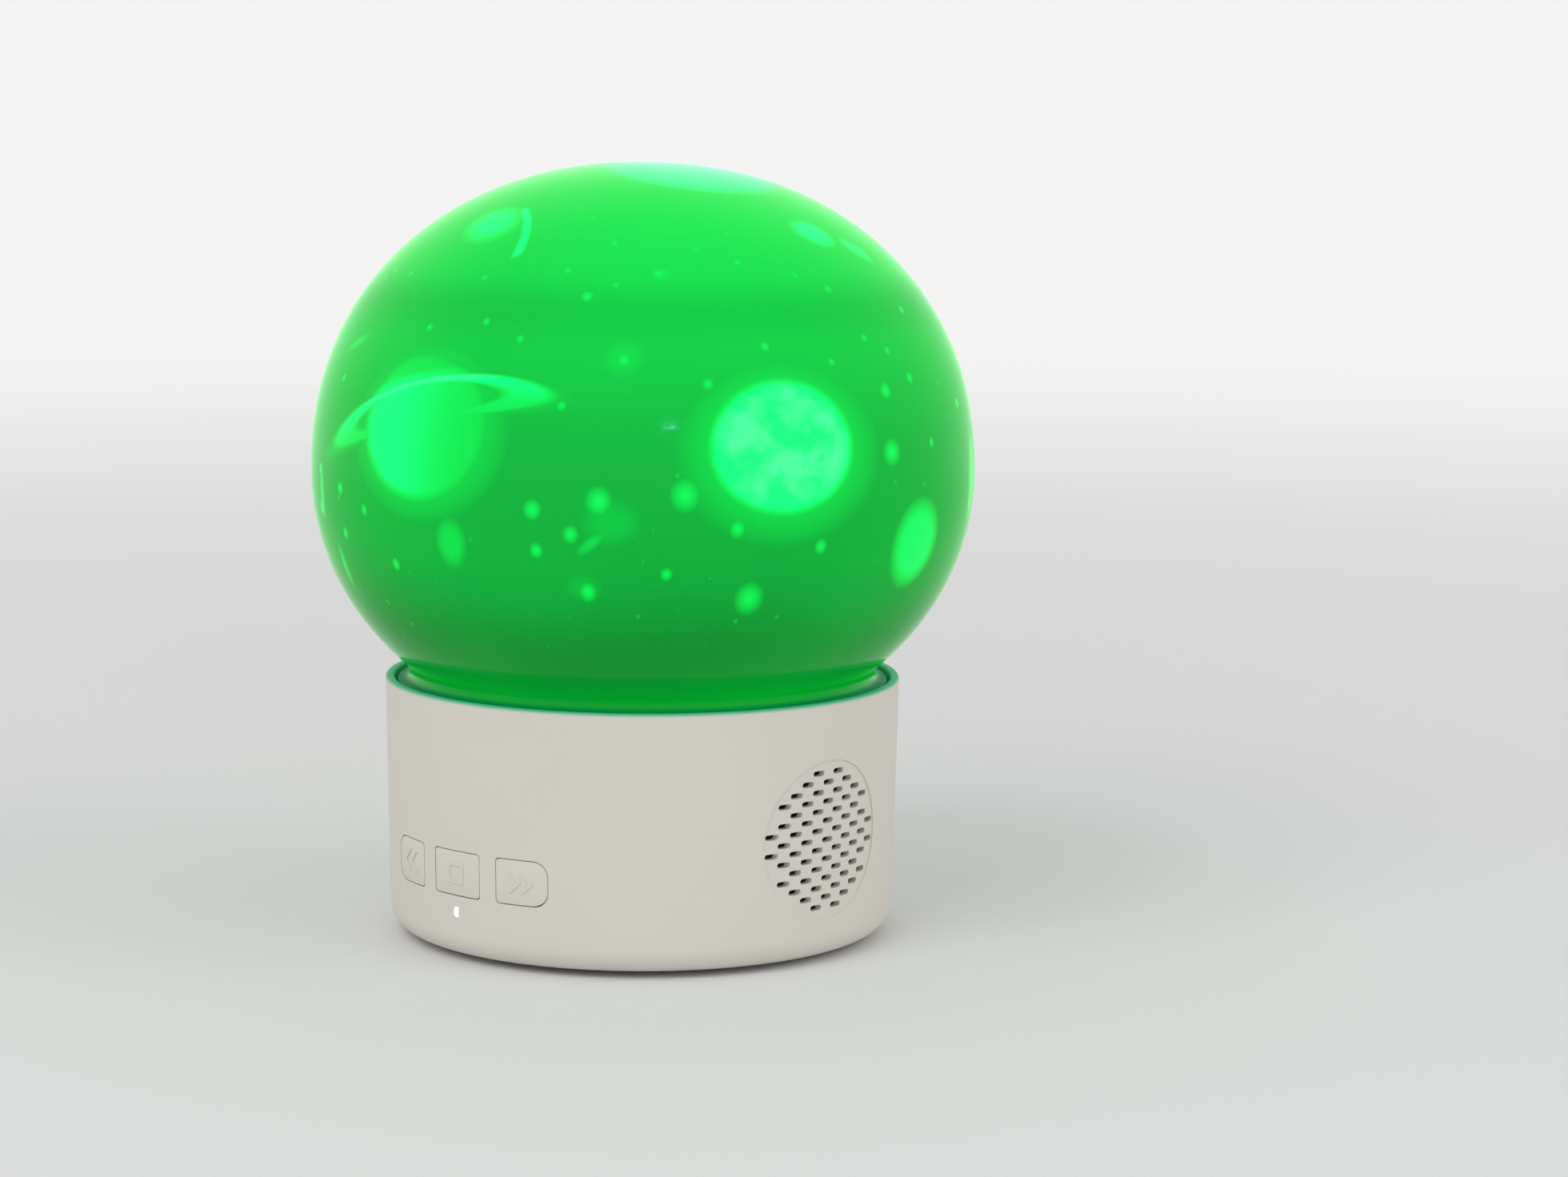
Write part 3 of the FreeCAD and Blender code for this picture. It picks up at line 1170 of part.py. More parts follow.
def chevron_sign(centre, middle, side):
    """Two arrow heads that point to the side."""
    half = value("sizes.sign_width") / 2
    point = value("sizes.chevron_width") * side
    stroke = value("sizes.sign_stroke") * 1.4 * side
    solids = []
    for offset in (-0.5, 0.5):
        start = centre + offset * value("sizes.chevron_pitch") - point / 2
        solids.append(upright_prism([
            (start - stroke / 2, middle + half), (start + stroke / 2, middle + half),
            (start + stroke / 2 + point, middle), (start + stroke / 2, middle - half),
            (start - stroke / 2, middle - half), (start - stroke / 2 + point, middle)]))
    return Part.makeCompound(solids)


for name, (left, right) in button_sides.items():
    gap = "sizes.button_gap"
    cap_sides = (
        f"{left} + {gap}", f"{right} - {gap}", f"sizes.button_low + {gap}", f"sizes.button_high - {gap}")
    lip = "sizes.button_lip"
    lip_sides = (
        f"{left} - {lip}", f"{right} + {lip}", f"sizes.button_low - {lip}", f"sizes.button_high + {lip}")
    rounds = button_rounds[name]
    start = SWITCH_BOARD_BACK
    cap_block = window_block(f"cap_block_{name}", cap_sides, rounds, start, BEYOND_WALL)
    cap = common(f"cap_{name}", cap_block, cap_layer)
    lip_block = window_block(f"lip_block_{name}", lip_sides, rounds, start, BEYOND_WALL)
    back = common(f"lip_{name}", lip_block, lip_layer)
    stem_at = (button_centres[name], f"-{PLUNGER_FRONT}", BUTTON_MIDDLE)
    stem_rod = cylinder(f"stem_rod_{name}", "sizes.stem_radius", BEYOND_WALL, stem_at, "-Y")
    stem = common(f"stem_{name}", stem_rod, stem_room)
    centre = value(button_centres[name])
    middle = value(BUTTON_MIDDLE)
    if name == "play":
        sign = square_sign(centre, middle)
    else:
        sign = chevron_sign(centre, middle, math.copysign(1, centre))
    raised = common(f"sign_{name}", formed(f"sign_prism_{name}", sign), sign_layer)
    piece(fuse(f"button_whole_{name}", cap, back, stem, raised), f"button_{name}")

# Switches: three on one upright board behind the caps, each with a plunger that slides in it.
# The indicator lamp sits on the same board, and a clear pipe takes its light through the wall.

switch_board = box(
    "switch_board_plate",
    ("-sizes.switch_board_reach", f"-{SWITCH_BOARD_FRONT}", "sizes.switch_board_low"),
    ("sizes.switch_board_reach", f"-{SWITCH_BOARD_BACK}", "sizes.switch_board_high"))
piece(switch_board, "switch_board")
switch_bodies = []
for name, centre in button_centres.items():
    reach = "sizes.switch_width / 2"
    block = box(
        f"switch_block_{name}",
        (f"{centre} - {reach}", f"-{SWITCH_FRONT}", f"{BUTTON_MIDDLE} - {reach}"),
        (f"{centre} + {reach}", f"-{SWITCH_BOARD_FRONT}", f"{BUTTON_MIDDLE} + {reach}"))
    bore_depth = "sizes.plunger_root + sizes.plunger_room"
    bore = cylinder(
        f"switch_bore_{name}", "sizes.plunger_radius + sizes.running_gap", BEYOND_WALL,
        (centre, f"-({SWITCH_FRONT} - ({bore_depth}))", BUTTON_MIDDLE), "-Y")
    switch_bodies.append(cut(f"switch_{name}", block, bore))
    piece(cylinder(
        f"plunger_rod_{name}", "sizes.plunger_radius", "sizes.plunger_root + sizes.plunger_rise",
        (centre, f"-({SWITCH_FRONT} - sizes.plunger_root)", BUTTON_MIDDLE), "-Y"), f"switch_plunger_{name}")
piece(group("switch_set", *switch_bodies), "tact_switches")

light_lamp_front = f"({SWITCH_BOARD_FRONT} + sizes.light_lamp_height)"
light_reach = "sizes.light_lamp_width / 2"
piece(box(
    "light_lamp",
    (f"-{light_reach}", f"-{light_lamp_front}", f"sizes.light_height - {light_reach}"),
    (light_reach, f"-{SWITCH_BOARD_FRONT}", f"sizes.light_height + {light_reach}")), "indicator_lamp")
pipe_rod = cylinder(
    "pipe_rod", "sizes.light_pipe_radius", BEYOND_WALL,
    ("0", f"-({light_lamp_front} + sizes.fit_gap)", "sizes.light_height"), "-Y")
pipe_envelope = cone(
    "pipe_envelope", "sizes.foot_radius", "sizes.rim_radius", f"{RIM_HEIGHT} - sizes.base_lift",
    ("0", "0", "sizes.base_lift"))
collar_front = f"({wall_at('sizes.light_height')} - sizes.shell_wall - sizes.light_collar_gap)"
pipe_collar = cylinder(
    "pipe_collar", "sizes.light_collar_radius", "sizes.light_collar_thickness",
    ("0", f"-({collar_front} - sizes.light_collar_thickness)", "sizes.light_height"), "-Y")
piece(fuse("pipe_whole", common("pipe_trimmed", pipe_rod, pipe_envelope), pipe_collar), "light_pipe")

# Loudspeaker: it faces +X behind the grille. Depths are measured back from the front of its rim.

speaker_at = (SPEAKER_FACE, "0", SPEAKER_HEIGHT)
surround_inner = "(sizes.cone_radius + sizes.fit_gap * 1.5)"
surround_outer = f"({surround_inner} + sizes.surround_width)"
basket_turned = revolved("basket_turned", [
    (surround_outer, "0"),
    ("sizes.speaker_radius", "0"),
    ("sizes.speaker_radius", "sizes.basket_rim_thickness"),
    (f"{surround_outer} + sizes.basket_wall", "sizes.basket_rim_thickness"),
    ("sizes.basket_back_radius", "sizes.basket_depth"),
    ("sizes.magnet_bore_radius", "sizes.basket_depth"),
    ("sizes.magnet_bore_radius", "sizes.basket_depth - sizes.basket_wall"),
    ("sizes.basket_back_radius - sizes.basket_wall", "sizes.basket_depth - sizes.basket_wall"),
    (surround_outer, "sizes.basket_rim_thickness"),
], speaker_at, "-X")
tag_high = f"{SPEAKER_HEIGHT} + sizes.wire_pitch + sizes.wire_radius"
tag_low = f"{SPEAKER_HEIGHT} - sizes.wire_pitch - sizes.wire_radius"
tag_front = f"{SPEAKER_FACE} - sizes.basket_depth + 3 * sizes.basket_wall"
speaker_tag = box(
    "speaker_tag", (f"{SPEAKER_FACE} - sizes.basket_depth", "-15", tag_low),
    (tag_front, "-sizes.basket_back_radius + 1", tag_high))
piece(fuse("basket_whole", basket_turned, speaker_tag), "speaker_basket")
piece(revolved("magnet_ring", [
    ("sizes.magnet_bore_radius", MAGNET_FRONT),
    ("sizes.magnet_radius", MAGNET_FRONT),
    ("sizes.magnet_radius", MAGNET_BACK),
    ("sizes.magnet_bore_radius", MAGNET_BACK),
], speaker_at, "-X"), "speaker_magnet")
piece(revolved("yoke_turned", [
    ("0", "sizes.basket_depth - sizes.basket_wall"),
    ("sizes.pole_radius", "sizes.basket_depth - sizes.basket_wall"),
    ("sizes.pole_radius", MAGNET_BACK),
    ("sizes.magnet_radius - 1", MAGNET_BACK),
    ("sizes.magnet_radius - 1", YOKE_BACK),
    ("0", YOKE_BACK),
], speaker_at, "-X"), "speaker_yoke")
piece(revolved("surround_turned", [
    (surround_inner, "sizes.gasket_thickness + sizes.cone_wall"),
    (f"{surround_inner} + sizes.surround_width * 0.25", "sizes.gasket_thickness * 0.3"),
    (f"{surround_inner} + sizes.surround_width * 0.75", "sizes.gasket_thickness * 0.3"),
    (surround_outer, "sizes.gasket_thickness"),
    (surround_outer, "sizes.basket_rim_thickness"),
    (f"{surround_inner} + sizes.surround_width * 0.7", "sizes.gasket_thickness + 0.3"),
    (f"{surround_inner} + sizes.surround_width * 0.3", "sizes.gasket_thickness + 0.3"),
    (surround_inner, "sizes.gasket_thickness + 2 * sizes.cone_wall"),
], speaker_at, "-X"), "speaker_surround")
coil_front = "(sizes.magnet_radius / 2 - 0.45)"
piece(revolved("cone_turned", [
    ("sizes.coil_radius", coil_front),
    ("sizes.cone_radius", "sizes.gasket_thickness + sizes.cone_wall"),
    ("sizes.cone_radius", "sizes.gasket_thickness + 2 * sizes.cone_wall"),
    ("sizes.coil_radius", f"{coil_front} + sizes.cone_wall * 1.2"),
], speaker_at, "-X"), "speaker_cone")
piece(revolved("coil_turned", [
    ("sizes.coil_radius - sizes.coil_wall", f"{coil_front} + sizes.cone_wall * 1.2"),
    ("sizes.coil_radius", f"{coil_front} + sizes.cone_wall * 1.2"),
    ("sizes.coil_radius", f"{coil_front} + sizes.coil_length"),
    ("sizes.coil_radius - sizes.coil_wall", f"{coil_front} + sizes.coil_length"),
], speaker_at, "-X"), "voice_coil")
piece(revolved("dust_dome", [
    ("0", f"{coil_front} - sizes.coil_radius / 2 - 0.3"),
    ("sizes.coil_radius * 0.6", f"{coil_front} - sizes.coil_radius / 2 + 0.4"),
    ("sizes.coil_radius", f"{coil_front} - 0.3"),
    ("sizes.coil_radius", coil_front),
    ("sizes.coil_radius * 0.55", f"{coil_front} - sizes.coil_radius / 2 + 0.9"),
    ("0", f"{coil_front} - sizes.coil_radius / 2 + 0.2"),
], speaker_at, "-X"), "dust_cap")
piece(revolved("gasket_turned", [
    ("sizes.speaker_radius - sizes.gasket_width", "0"),
    ("sizes.speaker_radius", "0"),
    ("sizes.speaker_radius", "sizes.gasket_thickness"),
    ("sizes.speaker_radius - sizes.gasket_width", "sizes.gasket_thickness"),
], (seat_back, "0", SPEAKER_HEIGHT), "-X"), "speaker_gasket")
speaker_screws = []
for at in speaker_screw_places:
    speaker_screws.append(screw(
        "speaker_screw", at, "-X", "sizes.screw_head_height * 2.5", "sizes.screw_radius",
        "sizes.speaker_screw_head_radius"))
piece(group("speaker_screw_set", *speaker_screws), "speaker_screws")

# Main board: a round board cut away beside the loudspeaker, with a tab that reaches the charging
# inlet at the back and another that reaches the switch board at the front.

board_disc = cylinder(
    "board_disc", BOARD_RADIUS, "sizes.board_thickness", ("0", "0", "sizes.board_height"))
board_tab = box(
    "board_tab", ("-sizes.board_tab_half_width", "0", "sizes.board_height"),
    ("sizes.board_tab_half_width", BOARD_TAB_REACH, BOARD_TOP))
board_front = box(
    "board_front", ("-sizes.board_front_half_width", f"-{BOARD_FRONT_REACH}", "sizes.board_height"),
    ("sizes.board_front_half_width", "0", BOARD_TOP))
board_room = box(
    "board_room", (BOARD_EDGE, f"-{BOARD_RADIUS}", "sizes.board_height"),
    (f"{BOARD_RADIUS} + {BOARD_EDGE}", BOARD_RADIUS, BOARD_TOP))
board_cuts = [board_room]
board_screws = []
for side_x in (1, -1):
    for side_y in (1, -1):
        post_x, post_y = f"{side_x} * {BOARD_POST_X}", f"{side_y} * {BOARD_POST_Y}"
        board_cuts.append(cylinder(
            "board_hole", f"sizes.screw_radius + {PIN_GAP}", "sizes.board_thickness",
            (post_x, post_y, "sizes.board_height")))
        board_screws.append(screw("board_screw", (post_x, post_y, BOARD_TOP), "+Z", "sizes.board_height / 2"))
board_blank = fuse("board_blank", board_disc, board_tab, board_front)
piece(cut("board_cut_out", board_blank, *board_cuts), "main_board")
piece(group("board_screw_set", *board_screws), "board_screws")

# Chips and coils: centre x and y, side along x, side along y, height.
chip_list = [
    (4.0, -8.0, 8.0, 8.0, 1.4),
    (-20.0, 8.0, 14.0, 12.0, 2.0),
    (6.0, -29.0, 6.0, 5.0, 1.5),
    (0.0, 34.0, 5.0, 4.0, 1.5),
    (9.0, 25.0, 7.0, 7.0, 4.0),
]
chips = []
for number, (chip_x, chip_y, side_x, side_y, rise) in enumerate(chip_list):
    low = (f"{chip_x - side_x / 2}", f"{chip_y - side_y / 2}", BOARD_TOP)
    high = (f"{chip_x + side_x / 2}", f"{chip_y + side_y / 2}", f"{BOARD_TOP} + {rise}")
    chips.append(box(f"chip_{number}", low, high))
piece(group("chip_set", *chips), "board_chips")

# Capacitors: centre x and y, radius, height.
capacitor_list = [
    (21.0, 9.0, 3.1, 8.0),
    (14.0, 15.0, 3.1, 8.0),
    (-10.0, 25.0, 2.5, 6.0),
    (-23.0, -14.0, 2.5, 6.0),
]
capacitors = []
for number, (can_x, can_y, can_radius, can_height) in enumerate(capacitor_list):
    at = (f"{can_x}", f"{can_y}", BOARD_TOP)
    capacitors.append(cylinder(f"capacitor_{number}", f"{can_radius}", f"{can_height}", at))
piece(group("capacitor_set", *capacitors), "board_capacitors")

header_reach = "sizes.header_width / 2"
header_block = box(
    "header", (f"-{header_reach}", f"-{SWITCH_BOARD_BACK}", BOARD_TOP),
    (header_reach, f"-({SWITCH_BOARD_BACK} - sizes.header_depth)", f"{BOARD_TOP} + sizes.header_height"))
piece(header_block, "header_block")

# Sockets for the leads: centre x and y of each block.
socket_places = {
    "battery": (18.0, -5.0),
    "speaker": (15.0, -17.5),
    "motor": (-7.0, -14.5),
    "lamp": (0.0, 9.0),
}
sockets = []
for name, (centre_x, centre_y) in socket_places.items():
    low = (f"{centre_x} - sizes.socket_length / 2", f"{centre_y} - sizes.socket_width / 2", BOARD_TOP)
    high = (
        f"{centre_x} + sizes.socket_length / 2", f"{centre_y} + sizes.socket_width / 2",
        f"{BOARD_TOP} + sizes.socket_height")
    sockets.append(box(f"socket_{name}", low, high))
piece(group("socket_set", *sockets), "board_sockets")

# Cell: a flat pouch stuck to the bottom cover with tape, under the main board.

cell_low = f"{COVER_TOP} + sizes.tape_thickness"
cell_left = "(sizes.cell_centre - sizes.cell_length / 2)"
cell_right = "(sizes.cell_centre + sizes.cell_length / 2)"
piece(box(
    "tape", (f"{cell_left} + 4", "-sizes.cell_width / 2 + 4", COVER_TOP),
    (f"{cell_right} - 4", "sizes.cell_width / 2 - 4", cell_low)), "battery_tape")
cell_body = new_body("cell_body", (cell_right, "0", f"{cell_low} + sizes.cell_thickness / 2"), "-X")
cell_sketch = new_sketch(cell_body, "cell_outline", "XY_Plane")
draw_window(
    cell_sketch, "-sizes.cell_thickness / 2", "sizes.cell_thickness / 2",
    "-sizes.cell_width / 2", "sizes.cell_width / 2", "sizes.cell_edge", "sizes.cell_edge")
padded(cell_body, cell_sketch, "sizes.cell_length")
piece(cell_body, "battery_cell")

# Charging inlet: a rounded metal shell on the board's tab with a contact tongue inside.

shell_sides = (
    "-sizes.usb_half_width", "sizes.usb_half_width", BOARD_TOP, f"{BOARD_TOP} + sizes.usb_thickness")
usb_wall = "sizes.usb_wall"
hollow_sides = (
    f"-(sizes.usb_half_width - {usb_wall})", f"sizes.usb_half_width - {usb_wall}",
    f"{BOARD_TOP} + {usb_wall}", f"{BOARD_TOP} + sizes.usb_thickness - {usb_wall}")
shell_round = "sizes.usb_thickness / 2 * 0.98"
hollow_round = f"(sizes.usb_thickness / 2 - {usb_wall}) * 0.98"
usb_back = f"({USB_FRONT} - sizes.usb_length)"
usb_block = window_block(
    "usb_block", shell_sides, (shell_round, shell_round), f"-{USB_FRONT}", "sizes.usb_length")
usb_hollow = window_block(
    "usb_hollow", hollow_sides, (hollow_round, hollow_round), f"-{USB_FRONT}", "sizes.usb_length")
piece(cut("usb_shell_cut", usb_block, usb_hollow), "usb_shell")
root_gap = PIN_GAP
root_sides = (
    f"-(sizes.usb_half_width - {usb_wall} - {root_gap})", f"sizes.usb_half_width - {usb_wall} - {root_gap}",
    f"{BOARD_TOP} + {usb_wall} + {root_gap}", f"{BOARD_TOP} + sizes.usb_thickness - {usb_wall} - {root_gap}")
root_round = f"(sizes.usb_thickness / 2 - {usb_wall} - {root_gap}) * 0.98"
usb_root = window_block(
    "usb_root", root_sides, (root_round, root_round), f"-({usb_back} + sizes.usb_root_length)",
    "sizes.usb_root_length")
usb_blade = box(
    "usb_blade",
    ("-sizes.usb_tongue_half_width", usb_back, f"{USB_MIDDLE} - sizes.usb_tongue_thickness / 2"),
    ("sizes.usb_tongue_half_width", f"{USB_FRONT} - sizes.usb_tongue_inset",
     f"{USB_MIDDLE} + sizes.usb_tongue_thickness / 2"))
piece(fuse("usb_tongue_whole", usb_root, usb_blade), "usb_tongue")

# Leads: pairs of thin wires, each a tube of straight runs joined by tangent arcs, with an arc of
# 0.45 of the shorter run beside it.


def lead(name, points, side_step):
    """A pair of wires along one route, stepped apart sideways, with the radii of their arcs printed."""
    radius = value("sizes.wire_radius")
    wires = []
    for share in (-0.5, 0.5):
        route = [Vector(*point) + side_step * share for point in points]
        edges = []
        radii = []
        start = route[0]
        for before, corner, after in zip(route, route[1:], route[2:]):
            back = before - corner
            ahead = after - corner
            reach = 0.45 * min(back.Length, ahead.Length)
            half_turn = (math.pi - back.getAngle(ahead)) / 2
            bend = reach / math.tan(half_turn)
            radii.append(round(bend, 1))
            enter = corner + back.normalize() * reach
            leave = corner + ahead.normalize() * reach
            inward = (back + ahead).normalize()
            middle = corner + inward * (bend / math.cos(half_turn) - bend)
            edges.append(Part.LineSegment(start, enter).toShape())
            edges.append(Part.Arc(enter, middle, leave).toShape())
            start = leave
        edges.append(Part.LineSegment(start, route[-1]).toShape())
        path = Part.Wire(edges)
        opening = Part.Wire(Part.makeCircle(radius, route[0], route[1] - route[0]))
        tube = path.makePipeShell([opening], True, False)
        expected = math.pi * radius ** 2 * path.Length
        print(name, "arc radii", radii, "volume over section times length", round(tube.Volume / expected, 4))
        wires.append(tube)
    return piece(formed(name + "_wires", Part.makeCompound(wires)), name)


pitch = value("sizes.wire_pitch")
socket_middle = value(f"{BOARD_TOP} + sizes.socket_height / 2")
socket_top = value(f"{BOARD_TOP} + sizes.socket_height")
socket_half = value("sizes.socket_length") / 2
cell_end = value(cell_right)
cell_middle = value(f"{cell_low} + sizes.cell_thickness / 2")
board_edge = value(BOARD_EDGE)
battery_x, battery_y = socket_places["battery"]
lead("battery_leads", [
    (cell_end, -4.0, cell_middle),
    (cell_end + 6.0, -4.0, cell_middle),
    (board_edge + 2.4, -4.5, cell_middle + 3.7),
    (board_edge + 0.6, battery_y, socket_middle),
    (battery_x + socket_half, battery_y, socket_middle),
], Vector(0, pitch, 0))
tag_x = value(f"{SPEAKER_FACE} - sizes.basket_depth") + 1.5
speaker_middle = value(SPEAKER_HEIGHT)
speaker_x, speaker_y = socket_places["speaker"]
lead("speaker_leads", [
    (tag_x, -15.0, speaker_middle),
    (tag_x, -20.5, speaker_middle),
    (tag_x - 3.5, -24.5, speaker_middle - 4.5),
    (tag_x - 9.5, -24.0, socket_middle + 1.9),
    (speaker_x + socket_half + 6.0, speaker_y, socket_middle),
    (speaker_x + socket_half, speaker_y, socket_middle),
], Vector(0, 0, pitch))
motor_x = value(MOTOR_X)
motor_low = value(f"{PAN_UNDER} - sizes.motor_length")
motor_socket_x, motor_socket_y = socket_places["motor"]
lead("motor_leads", [
    (motor_x + 5.0, -7.0, motor_low),
    (motor_x + 5.0, -7.0, motor_low - 4.6),
    (motor_x + 6.4, -10.8, socket_middle + 1.3),
    (motor_socket_x - socket_half - 4.8, motor_socket_y, socket_middle),
    (motor_socket_x - socket_half, motor_socket_y, socket_middle),
], Vector(0, pitch, 0))
slot_middle = value("sizes.post_bore_radius") * 0.78
sink_top = value(SINK_TOP)
lamp_x, lamp_y = socket_places["lamp"]
lead("lamp_leads", [
    (lamp_x, slot_middle, sink_top),
    (lamp_x, slot_middle, sink_top - 14.5),
    (lamp_x + 0.5, (slot_middle + lamp_y) / 2 - 0.5, sink_top - 23.5),
    (lamp_x, lamp_y, sink_top - 32.0),
    (lamp_x, lamp_y, socket_top),
], Vector(pitch, 0, 0))

document.recompute()
for item in document.Objects:
    if "Invalid" in item.State or "Error" in item.State:
        raise RuntimeError(f"{item.Label} failed: {item.State}")
os.makedirs("parts", exist_ok=True)
for item in pieces:
    if item.Shape.isNull() or not item.Shape.isValid():
        raise RuntimeError(f"{item.Label} has no valid shape")
    item.Shape.exportStep(f"parts/{item.Label}.step")
print(len(pieces), "pieces written")
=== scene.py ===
import math

import bmesh
import bpy
from mathutils import Matrix, Vector


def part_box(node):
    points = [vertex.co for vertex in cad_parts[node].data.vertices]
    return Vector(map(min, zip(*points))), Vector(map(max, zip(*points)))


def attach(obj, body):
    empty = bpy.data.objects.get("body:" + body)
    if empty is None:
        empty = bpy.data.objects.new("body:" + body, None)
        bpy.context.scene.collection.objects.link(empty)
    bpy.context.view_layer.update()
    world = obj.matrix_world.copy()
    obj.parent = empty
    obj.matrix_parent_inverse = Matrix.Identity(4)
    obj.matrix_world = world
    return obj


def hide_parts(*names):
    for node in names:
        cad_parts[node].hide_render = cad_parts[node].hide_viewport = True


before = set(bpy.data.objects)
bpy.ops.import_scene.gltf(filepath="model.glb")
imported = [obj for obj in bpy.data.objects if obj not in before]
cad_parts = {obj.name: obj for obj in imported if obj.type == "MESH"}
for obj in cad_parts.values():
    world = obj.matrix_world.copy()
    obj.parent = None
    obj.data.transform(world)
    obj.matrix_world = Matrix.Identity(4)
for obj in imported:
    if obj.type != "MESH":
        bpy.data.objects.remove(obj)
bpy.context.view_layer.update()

# View: the lamp is seen from a little above its middle, from the side between the buttons
# (-Y) and the loudspeaker (+X). The camera stands on a line turned 45 degrees from -Y.

MM = 0.001
camera_distance = 835.3 * MM
camera_height = 184.5 * MM
camera_side = math.radians(45)
camera_yaw = 0.0345111
camera_pitch = 0.1355519
camera_roll = 0.0093742
bpy.ops.object.select_all(action="DESELECT")
bpy.ops.object.camera_add()
camera = bpy.context.active_object
camera.name = "camera"
camera.data.lens = 94.42
camera.data.sensor_width = 36
camera_place = Vector((
    camera_distance * math.sin(camera_side),
    -camera_distance * math.cos(camera_side),
    camera_height))
camera_turn = (
    Matrix.Rotation(camera_side - camera_yaw, 4, "Z")
    @ Matrix.Rotation(math.pi / 2 - camera_pitch, 4, "X")
    @ Matrix.Rotation(camera_roll, 4, "Z"))
camera.matrix_world = Matrix.Translation(camera_place) @ camera_turn
bpy.context.scene.camera = camera
bpy.context.scene.view_settings.view_transform = "Standard"

# Studio: a pale round floor under an even sky, with two soft lights, and a small one that only
# shows as a spot on the gloss. Far off, the floor takes the sky's colour, so no edge is seen.


def socket_of(item):
    """The output of a node, or the socket itself."""
    return item.outputs[0] if isinstance(item, bpy.types.Node) else item


def node(tree, kind, links=None, **settings):
    """Add a shader node, set its own settings, and fill its inputs with numbers or links."""
    item = tree.nodes.new(kind)
    for name, setting in settings.items():
        setattr(item, name, setting)
    for name, source in (links or {}).items():
        if isinstance(source, (bpy.types.Node, bpy.types.NodeSocket)):
            tree.links.new(socket_of(source), item.inputs[name])
        else:
            item.inputs[name].default_value = source
    return item


def maths(tree, operation, first, second=0.0):
    return node(tree, "ShaderNodeMath", {0: first, 1: second}, operation=operation)


def ramp(tree, source, from_low, from_high, to_low=0.0, to_high=1.0, smooth=True):
    """Carry a value from one range to another, softly by default."""
    return node(
        tree, "ShaderNodeMapRange",
        {"Value": source, "From Min": from_low, "From Max": from_high, "To Min": to_low, "To Max": to_high},
        interpolation_type="SMOOTHSTEP" if smooth else "LINEAR")


def own_place(tree):
    """The place on the piece itself, in metres, which moves with the piece."""
    return node(tree, "ShaderNodeTexCoord").outputs["Object"]


def parts_of(tree, vector):
    """The X, Y and Z of a vector."""
    return node(tree, "ShaderNodeSeparateXYZ", {"Vector": vector}).outputs


def length_of(tree, vector):
    return node(tree, "ShaderNodeVectorMath", {0: vector}, operation="LENGTH").outputs["Value"]


def scaled(tree, colour, amount):
    """A colour made brighter or darker by an amount."""
    return node(tree, "ShaderNodeVectorMath", {0: colour, "Scale": amount}, operation="SCALE").outputs[0]


def mixed(tree, share, first, second):
    """A colour between two others: the first at a share of 0, the second at 1."""
    blend = node(tree, "ShaderNodeMix", {0: share, 6: first, 7: second}, data_type="RGBA")
    return blend.outputs[2]


def seen_share(tree):
    """1 where the camera looks, also by a mirror or through a clear piece, and 0 for the light itself."""
    path = node(tree, "ShaderNodeLightPath").outputs
    seen = maths(tree, "MAXIMUM", path["Is Camera Ray"], path["Is Glossy Ray"])
    return maths(tree, "MAXIMUM", seen, path["Is Transmission Ray"])


def inside(material):
    """The tree and the shader of a material."""
    return material.node_tree, material.node_tree.nodes["Principled BSDF"]


def new_material(name):
    """A material with a Principled shader; gives the material, its tree and the shader."""
    material = bpy.data.materials.new(name)
    material.use_nodes = True
    tree, shader = inside(material)
    return material, tree, shader


pale = (0.90, 0.90, 0.895, 1)
sky_strength = 0.62
floor_radius = 4.0
fade_start = 0.15
fade_end = 1.6
world = bpy.data.worlds.new("sky")
bpy.context.scene.world = world
world.use_nodes = True
sky_tree = world.node_tree
sky_tree.nodes.clear()
sky_light = node(sky_tree, "ShaderNodeBackground", {"Color": (1, 1, 1, 1), "Strength": sky_strength})
sky_seen = node(sky_tree, "ShaderNodeBackground", {"Color": pale, "Strength": 1.0})
sky_mix = node(sky_tree, "ShaderNodeMixShader", {0: seen_share(sky_tree), 1: sky_light, 2: sky_seen})
node(sky_tree, "ShaderNodeOutputWorld", {"Surface": sky_mix})

bpy.ops.object.select_all(action="DESELECT")
bpy.ops.mesh.primitive_circle_add(vertices=96, radius=floor_radius, fill_type="NGON")
studio_floor = bpy.context.active_object
studio_floor.name = "studio_floor"
floor_material, floor_tree, floor_shader = new_material("studio_floor")
floor_shader.inputs["Base Color"].default_value = (0.80, 0.80, 0.795, 1)
floor_shader.inputs["Roughness"].default_value = 0.75
floor_far = ramp(floor_tree, length_of(floor_tree, own_place(floor_tree)), fade_start, fade_end)
floor_part = maths(floor_tree, "MULTIPLY", floor_far, seen_share(floor_tree))
floor_glow = node(floor_tree, "ShaderNodeEmission", {"Color": pale, "Strength": 1.0})
floor_mix = node(floor_tree, "ShaderNodeMixShader", {
    0: floor_part, 1: floor_shader.outputs[0], 2: floor_glow})
floor_tree.links.new(floor_mix.outputs[0], floor_tree.nodes["Material Output"].inputs["Surface"])
studio_floor.data.materials.append(floor_material)

